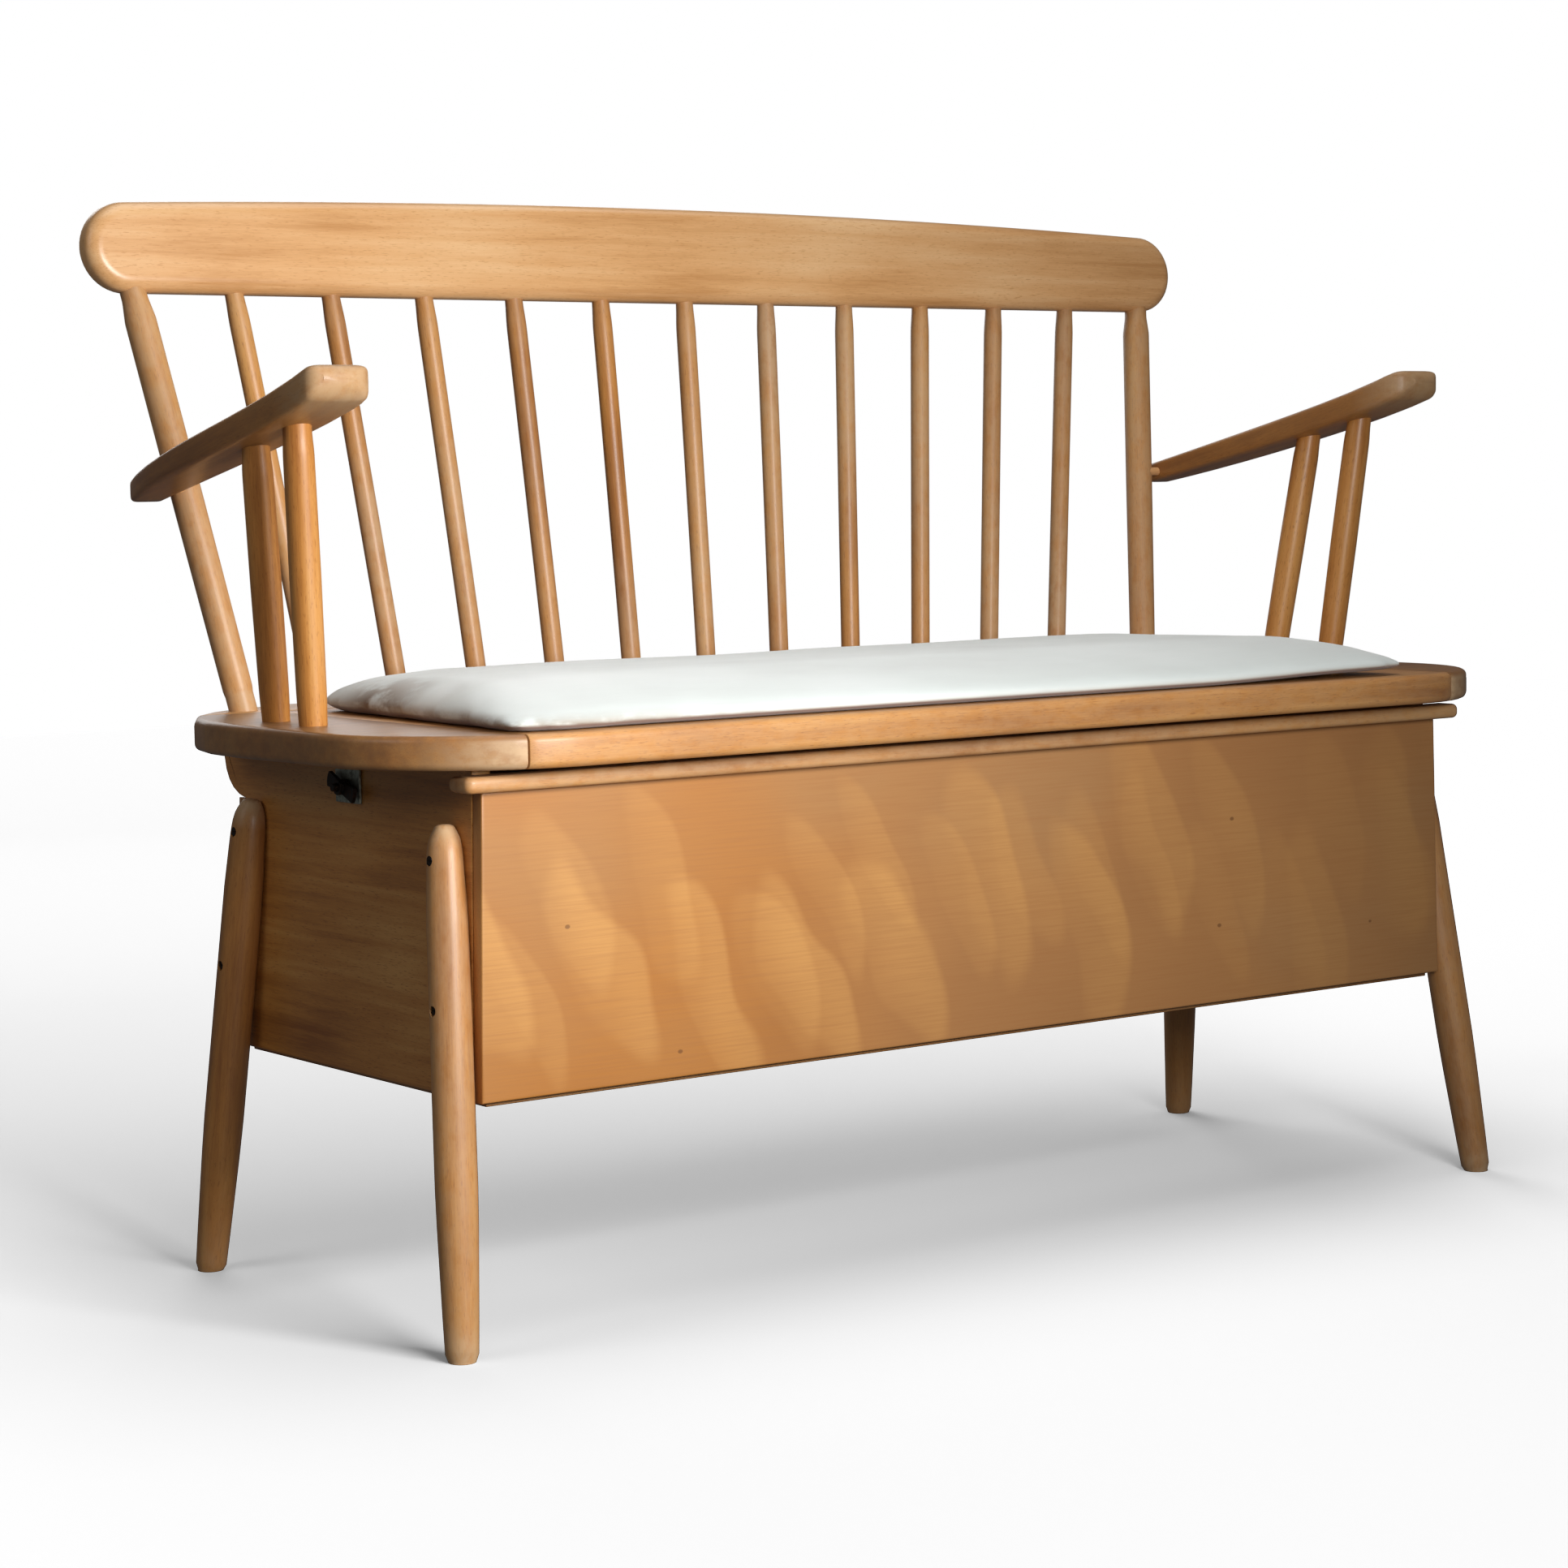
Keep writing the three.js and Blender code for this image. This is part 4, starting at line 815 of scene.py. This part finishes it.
# ------------------------------------------------------------------ materials
class Graph:
    """A material's node tree, built one node at a time."""

    def __init__(self, name):
        self.material = bpy.data.materials.new(name)
        self.material.use_nodes = True
        self.tree = self.material.node_tree
        self.shader = self.tree.nodes["Principled BSDF"]

    def put(self, socket, value):
        if isinstance(value, bpy.types.NodeSocket):
            self.tree.links.new(value, socket)
        else:
            socket.default_value = value

    def node(self, kind, inputs=None, **settings):
        made = self.tree.nodes.new(kind)
        for key, value in settings.items():
            setattr(made, key, value)
        for key, value in (inputs or {}).items():
            self.put(made.inputs[key], value)
        return made

    def attribute(self, name):
        return self.node("ShaderNodeAttribute", attribute_name=name)

    def stretch(self, vector, scale, shift=(0, 0, 0)):
        moved = self.node("ShaderNodeMapping", {"Vector": vector, "Scale": scale, "Location": shift})
        return moved.outputs["Vector"]

    def noise(self, vector, detail=2.0, roughness=0.5, distortion=0.0):
        inputs = {"Vector": vector, "Scale": 1.0, "Detail": detail, "Roughness": roughness,
                  "Distortion": distortion}
        return self.node("ShaderNodeTexNoise", inputs).outputs["Fac"]

    def maths(self, operation, a, b=0.0, c=0.0, clamp=False):
        inputs = {0: a, 1: b, 2: c}
        made = self.node("ShaderNodeMath", inputs, operation=operation, use_clamp=clamp)
        return made.outputs[0]

    def spread(self, value, low, high, to_low=0.0, to_high=1.0):
        inputs = {"Value": value, "From Min": low, "From Max": high, "To Min": to_low,
                  "To Max": to_high}
        made = self.node("ShaderNodeMapRange", inputs, interpolation_type="SMOOTHSTEP")
        return made.outputs["Result"]

    def ramp(self, value, stops):
        made = self.node("ShaderNodeValToRGB", {"Fac": value})
        elements = made.color_ramp.elements
        while len(elements) < len(stops):
            elements.new(0.5)
        for element, (place, colour) in zip(elements, stops):
            element.position = place
            element.color = (*colour, 1)
        return made.outputs["Color"]

    def mix(self, factor, a, b):
        made = self.node("ShaderNodeMix", data_type="RGBA")
        self.put(made.inputs["Factor"], factor)
        colours = [socket for socket in made.inputs if socket.type == "RGBA"]
        for socket, value in zip(colours, (a, b)):
            self.put(socket, (*value, 1) if isinstance(value, tuple) else value)
        return next(s for s in made.outputs if s.type == "RGBA")

    def bump(self, height, strength, distance):
        made = self.node("ShaderNodeBump", {"Height": height, "Strength": strength,
                                            "Distance": distance})
        self.put(self.shader.inputs["Normal"], made.outputs["Normal"])

    def surface(self, **values):
        for key, value in values.items():
            self.put(self.shader.inputs[key.replace("_", " ")], value)
        return self.material


def srgb(red, green, blue):
    """A colour given as 0 to 255 screen values, for a shader."""
    def linear(v):
        v /= 255
        return v / 12.92 if v <= 0.04045 else ((v + 0.055) / 1.055) ** 2.4
    return linear(red), linear(green), linear(blue)


def wood(name, dark, middle, light, worn, gloss):
    """Varnished beech: streaks and bands along the grain, short dark flecks and worn patches."""
    g = Graph(name)
    grain = g.attribute("grain").outputs["Vector"]
    wear = g.attribute("wear").outputs["Fac"]
    streaks = g.noise(g.stretch(grain, (3.5, 70, 70)), detail=4, roughness=0.6, distortion=0.3)
    cloud = g.noise(g.stretch(grain, (4, 9, 9), (3, 1, 7)))
    fibres = g.noise(g.stretch(grain, (45, 1100, 1100)), roughness=0.6)
    tone = g.maths("ADD", g.maths("MULTIPLY", streaks, 0.5), g.maths("MULTIPLY", cloud, 0.5))
    tone = g.maths("ADD", tone, g.maths("MULTIPLY_ADD", fibres, 0.16, -0.08))
    colour = g.ramp(tone, [(0.34, dark), (0.5, middle), (0.66, light)])
    flecks = g.noise(g.stretch(grain, (150, 1300, 1300), (5, 5, 5)), detail=1)
    fleck = g.spread(flecks, 0.6, 0.72, to_high=0.6)
    colour = g.mix(fleck, colour, dark)
    scuffs = g.noise(g.stretch(grain, (60, 110, 110), (1, 2, 3)), detail=4, roughness=0.65)
    stain = g.attribute("stain").outputs["Fac"]
    # The stain channel darkens the wood towards this colour: real soil on most pieces, and painted shade
    # on the rear legs.
    soiled = g.maths("MULTIPLY", stain, g.spread(scuffs, 0.2, 0.7, 0.7, 1.0), clamp=True)
    soil_and_shade = srgb(118, 86, 58)
    colour = g.mix(soiled, colour, soil_and_shade)
    patchy = g.maths("MULTIPLY", wear, g.spread(scuffs, 0.3, 0.62, 0.45, 1.0), clamp=True)
    colour = g.mix(patchy, colour, worn)
    rough = g.maths("MULTIPLY_ADD", fibres, 0.16, gloss - 0.08)
    rough = g.maths("MULTIPLY_ADD", patchy, 0.28, rough, clamp=True)
    height = g.maths("ADD", g.maths("MULTIPLY", fibres, 0.6), g.maths("MULTIPLY", streaks, 0.4))
    g.bump(height, strength=0.22, distance=0.35 * MM)
    return g.surface(Base_Color=colour, Roughness=rough, Coat_Weight=0.16, Coat_Roughness=0.2)


FLAME_MIDDLE = 0.58  # where a flame stands in its share of the row
FLAME_HALF = 0.38  # half its width, as a share of the row's pitch


def flames(g, grain, shift, pitch, lean, tall):
    """A row of leaning pale tongues, each soft on one side and crisp on the other."""
    wander = g.noise(g.stretch(grain, (4.5, 3.5, 3), (shift, 0.3, 0)))
    axes = g.node("ShaderNodeSeparateXYZ", {"Vector": grain})
    phase = g.maths("MULTIPLY_ADD", axes.outputs["X"], 1 / pitch, shift)
    phase = g.maths("MULTIPLY_ADD", axes.outputs["Y"], lean / pitch, phase)
    phase = g.maths("MULTIPLY_ADD", wander, 1.7, phase)
    cell = g.maths("FLOOR", phase)
    chance = g.node("ShaderNodeTexWhiteNoise", {"W": cell}, noise_dimensions="1D")
    place = g.maths("FRACT", phase)
    across = g.maths("MULTIPLY_ADD", place, 1 / FLAME_HALF, -FLAME_MIDDLE / FLAME_HALF)
    middle = g.maths("MULTIPLY_ADD", chance.outputs["Value"], 0.1, -0.05)
    up = g.maths("MULTIPLY_ADD", g.maths("SUBTRACT", wander, 0.5), 0.12, axes.outputs["Y"])
    up = g.maths("DIVIDE", g.maths("SUBTRACT", up, middle), tall)
    reach = g.maths("ADD", g.maths("MULTIPLY", across, across), g.maths("MULTIPLY", up, up))
    body = g.spread(reach, 0.6, 1.05, to_low=1.0, to_high=0.0)
    soft_side = g.spread(place, 0.12, 0.75, to_low=0.2)
    return g.maths("MULTIPLY", body, soft_side)


def plywood(name):
    """Rotary-cut birch: a row of pale flames, fine level fibres, stray pin knots, and painted light that
    is warmest and brightest at the sheet's left end.
    """
    g = Graph(name)
    grain = g.attribute("grain").outputs["Vector"]
    near = flames(g, grain, shift=0.0, pitch=0.092, lean=0.3, tall=0.095)
    far = flames(g, grain, shift=7.37, pitch=0.07, lean=0.38, tall=0.075)
    cloud = g.noise(g.stretch(grain, (3, 4, 4), (7, 2, 0)))
    fibres = g.noise(g.stretch(grain, (14, 520, 520)), detail=3, roughness=0.65)
    deep, honey, dull = srgb(166, 104, 42), srgb(180, 118, 54), srgb(176, 124, 70)
    painted_shade_tone, flame = srgb(170, 128, 86), srgb(216, 160, 92)
    thread, knot = srgb(160, 104, 56), srgb(92, 54, 26)
    base = g.ramp(cloud, [(0.34, deep), (0.5, honey), (0.66, dull)])
    along = g.node("ShaderNodeSeparateXYZ", {"Vector": grain}).outputs["X"]
    # Painted shade: from the left end towards the middle the sheet turns greyer, as the key light
    # weakens across the panel.
    base = g.mix(g.spread(along, -0.36, -0.02, to_high=0.55), base, painted_shade_tone)
    pale = g.maths("MULTIPLY_ADD", far, 0.24, g.maths("MULTIPLY", near, 0.4), clamp=True)
    # Painted light: the flames are brightest at the left end and fade towards the right, following the
    # key light's fall-off.
    pale = g.maths("MULTIPLY", pale, g.spread(along, -0.3, 0.45, to_low=1.0, to_high=0.45))
    colour = g.mix(pale, base, flame)
    colour = g.mix(g.spread(fibres, 0.35, 0.75, to_high=0.3), colour, thread)
    cells = g.node("ShaderNodeTexVoronoi", {"Vector": g.stretch(grain, (14, 20, 14)), "Scale": 1.0})
    pins = g.spread(cells.outputs["Distance"], 0.024, 0.04, to_low=0.6, to_high=0.0)
    colour = g.mix(pins, colour, knot)
    rough = g.maths("MULTIPLY_ADD", fibres, 0.14, 0.42)
    height = g.maths("ADD", fibres, g.maths("MULTIPLY", pins, -1.0))
    g.bump(height, strength=0.18, distance=0.3 * MM)
    return g.surface(Base_Color=colour, Roughness=rough, Coat_Weight=0.06, Coat_Roughness=0.3)


THREAD_PITCH = 0.9 * MM


def fabric(name):
    """Plain woven cotton: crossing threads, thicker yarns, a brown stain, and painted shade on the faces
    that look down.
    """
    g = Graph(name)
    place = g.attribute("grain").outputs["Vector"]
    axes = g.node("ShaderNodeSeparateXYZ", {"Vector": place})
    wobble = g.maths("MULTIPLY", g.noise(g.stretch(place, (160, 160, 160)), 2), 1.4)
    thread = 2 * math.pi / THREAD_PITCH
    weave = []
    for axis in ("X", "Y"):
        phase = g.maths("MULTIPLY_ADD", axes.outputs[axis], thread, wobble)
        weave.append(g.maths("SINE", phase))
    cloth = g.maths("MULTIPLY", weave[0], weave[1])
    slubs = g.noise(g.stretch(place, (30, 700, 60)), roughness=0.6)
    cloud = g.noise(g.stretch(place, (5, 9, 9)), detail=3, roughness=0.55)
    shaded, white, bright = srgb(213, 218, 214), srgb(221, 227, 223), srgb(229, 234, 231)
    yarn, brown, painted_underside_shade = srgb(196, 203, 198), srgb(128, 104, 78), srgb(128, 98, 82)
    colour = g.ramp(cloud, [(0.3, shaded), (0.5, white), (0.7, bright)])
    colour = g.mix(g.spread(slubs, 0.5, 0.8, to_high=0.12), colour, yarn)
    stain = g.attribute("stain").outputs["Fac"]
    blots = g.noise(g.stretch(place, (24, 30, 60), (2, 4, 1)), detail=4, roughness=0.6)
    soiled = g.maths("MULTIPLY", stain, g.spread(blots, 0.34, 0.6, to_high=0.95), clamp=True)
    colour = g.mix(soiled, colour, brown)
    # Painted shade: faces that look down are mixed towards a darker brownish grey, as if in the shade
    # under the pad's rim.
    colour = g.mix(g.attribute("under").outputs["Fac"], colour, painted_underside_shade)
    height = g.maths("MULTIPLY_ADD", cloth, 0.5, g.maths("MULTIPLY", slubs, 0.8))
    g.bump(height, strength=0.25, distance=0.25 * MM)
    return g.surface(Base_Color=colour, Roughness=0.95, Sheen_Weight=0.35, Sheen_Roughness=0.5)


def metal(name, colour, spots, roughness, metallic=1.0):
    """A small fitting: its own colour, darker spots, and roughness that varies with them."""
    g = Graph(name)
    place = g.node("ShaderNodeTexCoord").outputs["Object"]
    grime = g.noise(g.stretch(place, (220, 220, 220)), detail=4, roughness=0.65)
    brushed = g.noise(g.stretch(place, (900, 120, 900)))
    mottled = g.mix(g.spread(grime, 0.42, 0.68, to_high=0.8), colour, spots)
    rough = g.maths("MULTIPLY_ADD", grime, 0.3, roughness - 0.12)
    g.bump(brushed, strength=0.1, distance=0.1 * MM)
    return g.surface(Base_Color=mottled, Roughness=rough, Metallic=metallic)


MATERIALS = {
    "beech": wood("beech", srgb(150, 90, 38), srgb(194, 130, 62), srgb(216, 158, 88),
                  srgb(206, 172, 132), 0.42),
    "beech_crest": wood("beech_crest", srgb(198, 140, 82), srgb(226, 172, 116), srgb(238, 192, 140),
                        srgb(206, 178, 142), 0.33),
    "plywood": plywood("plywood"),
    "cushion_fabric": fabric("cushion_fabric"),
    "brass": metal("brass", srgb(176, 146, 88), srgb(110, 84, 48), 0.42),
    "dark_steel": metal("dark_steel", srgb(44, 40, 38), srgb(70, 48, 34), 0.5, 0.8),
    "zinc": metal("zinc", srgb(168, 174, 162), srgb(112, 114, 104), 0.45),
}


# ------------------------------------------------------------------ building
def fittings():
    """The pieces that nothing replaces keep their CAD shape, with slightly broken edges."""
    for node, obj in NODES.items():
        if obj.hide_render:
            continue
        obj.data.materials.clear()
        obj.data.materials.append(MATERIALS[SLOT_OF[node]])
        weld = obj.modifiers.new("weld", "WELD")
        weld.merge_threshold = 5 * WELD
        edge = obj.modifiers.new("edge", "BEVEL")
        edge.width = FITTING_BEVEL
        edge.segments = 2
        edge.limit_method = "ANGLE"
        edge.angle_limit = FITTING_ANGLE


def faded(points):
    """Handling has taken some of the varnish off the spindles, in long patches."""
    return np.array([0.42 + 0.5 * noise.noise(Vector(p) * 5) for p in points])


POST_FOOT = 17 * MM  # height of the slim foot of each back post
POST_BLUR = 1.2 * MM  # the posts are turned more crisply than the spindles
POST_STEP = 2.5 * MM


def collar_wear(points):
    """Each post is a little faded, and its slim foot is bare."""
    seat_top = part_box("seat_lid")[1].z
    bare = np.clip((seat_top + POST_FOOT - points[:, 2]) / (2 * MM), 0, 1)
    return np.maximum(0.5, 0.75 * bare)


def build():
    """Every piece in turn, each with a seed of its own for its grain."""
    crest()
    seat()
    spindles = sorted(node for node in NODES if node.startswith("spindle_"))
    for i, node in enumerate(spindles, 1):
        turned_piece(node, 20 + i * 1.7, wear=faded)
    for name, side in SIDES.items():
        shift = 0.8 if side > 0 else 0
        turned_piece(f"back_post_{name}", 51 + shift, POST_BLUR, POST_STEP, collar_wear)
        for k, place in enumerate(("front", "rear")):
            turned_piece(f"arm_spindle_{place}_{name}", 61 + k * 3 + shift)
            leg_piece(place, name, side, 71 + k * 3 + shift)
        arm(name, 81 + shift)
        side_panel(name, side, 91 + shift)
    level_board("front_rail", RAIL_ROUNDING, 17, "moulding", RAIL_FADE)
    level_board("bottom_panel", BOTTOM_ROUNDING, 23, "ply", 0.0)
    upright_panel("front_panel", 0)
    upright_panel("back_panel", 4)
    cushion()
    fittings()


# ------------------------------------------------------------------ camera, floor and light
CAMERA_PLACE = Vector((-1.7926, -2.3378, 0.6218))
CAMERA_HEADING = math.radians(36.404)  # from straight ahead towards the bench's right
CAMERA_PITCH = math.radians(4.969)  # downwards
CAMERA_ROLL = math.radians(0.992)
CAMERA_LENS = 80.81
SENSOR_WIDTH = 36
FLOOR_HALF = 6.0
SURROUND_STRENGTH = 0.08  # what the white surround adds to the lamps' light


def camera():
    """The photographer's place, low and to the left of the bench."""
    data = bpy.data.cameras.new("camera")
    data.lens = CAMERA_LENS
    data.sensor_width = SENSOR_WIDTH
    data.clip_start, data.clip_end = 0.05, 60
    obj = link("camera", data)
    turn = (Matrix.Rotation(-CAMERA_HEADING, 4, "Z")
            @ Matrix.Rotation(math.pi / 2 - CAMERA_PITCH, 4, "X")
            @ Matrix.Rotation(-CAMERA_ROLL, 4, "Z"))
    obj.matrix_world = Matrix.Translation(CAMERA_PLACE) @ turn
    bpy.context.scene.camera = obj


def lamp(name, place, target, size, power, spread):
    """A soft rectangular light that faces its target."""
    data = bpy.data.lights.new(name, "AREA")
    data.shape = "RECTANGLE"
    data.size, data.size_y = size
    data.energy = power
    data.spread = math.radians(spread)
    obj = link(name, data)
    aim = (Vector(target) - Vector(place)).to_track_quat("-Z", "Y")
    obj.matrix_world = Matrix.Translation(place) @ aim.to_matrix().to_4x4()


def ground():
    """A pale floor that shows only the shadow on it."""
    corners = [(-FLOOR_HALF, -FLOOR_HALF, 0), (FLOOR_HALF, -FLOOR_HALF, 0),
               (FLOOR_HALF, FLOOR_HALF, 0), (-FLOOR_HALF, FLOOR_HALF, 0)]
    mesh = bpy.data.meshes.new("floor")
    mesh.from_pydata(corners, [], [(0, 1, 2, 3)])
    floor = link("floor", mesh)
    g = Graph("floor")
    mesh.materials.append(g.surface(Base_Color=(0.9, 0.9, 0.9, 1), Roughness=0.9))
    floor.is_shadow_catcher = True
    floor.visible_diffuse = False
    floor.visible_glossy = False


def surround():
    """White where it is seen directly, and a dim cool light on everything else."""
    world = bpy.data.worlds.new("surround")
    bpy.context.scene.world = world
    world.use_nodes = True
    nodes, links = world.node_tree.nodes, world.node_tree.links
    nodes.clear()
    seen = nodes.new("ShaderNodeBackground")
    seen.inputs["Color"].default_value = (1, 1, 1, 1)
    seen.inputs["Strength"].default_value = 1.0
    lit = nodes.new("ShaderNodeBackground")
    lit.inputs["Color"].default_value = (0.95, 0.97, 1, 1)
    lit.inputs["Strength"].default_value = SURROUND_STRENGTH
    path = nodes.new("ShaderNodeLightPath")
    mix = nodes.new("ShaderNodeMixShader")
    out = nodes.new("ShaderNodeOutputWorld")
    links.new(path.outputs["Is Camera Ray"], mix.inputs[0])
    links.new(lit.outputs[0], mix.inputs[1])
    links.new(seen.outputs[0], mix.inputs[2])
    links.new(mix.outputs[0], out.inputs["Surface"])


def studio():
    """The floor and its surround, a key at the left front, soft lights above, beside and behind."""
    ground()
    surround()
    lamp("key", (-0.36, -1.45, 0.74), (-0.78, 0, 0.5), size=(0.8, 0.5), power=14, spread=124)
    lamp("overhead", (0.1, -0.1, 2.6), (0, 0, 0.4), size=(2.2, 1.6), power=19, spread=180)
    lamp("side_fill", (-2.6, 0.1, 1.7), (-0.5, 0, 0.4), size=(1.2, 1.2), power=3, spread=120)
    lamp("rear_fill", (0.9, 3.2, 1.7), (0, 0.2, 0.4), size=(2.4, 1.6), power=17, spread=150)
    bpy.context.scene.view_settings.view_transform = "Standard"


build()
camera()
studio()
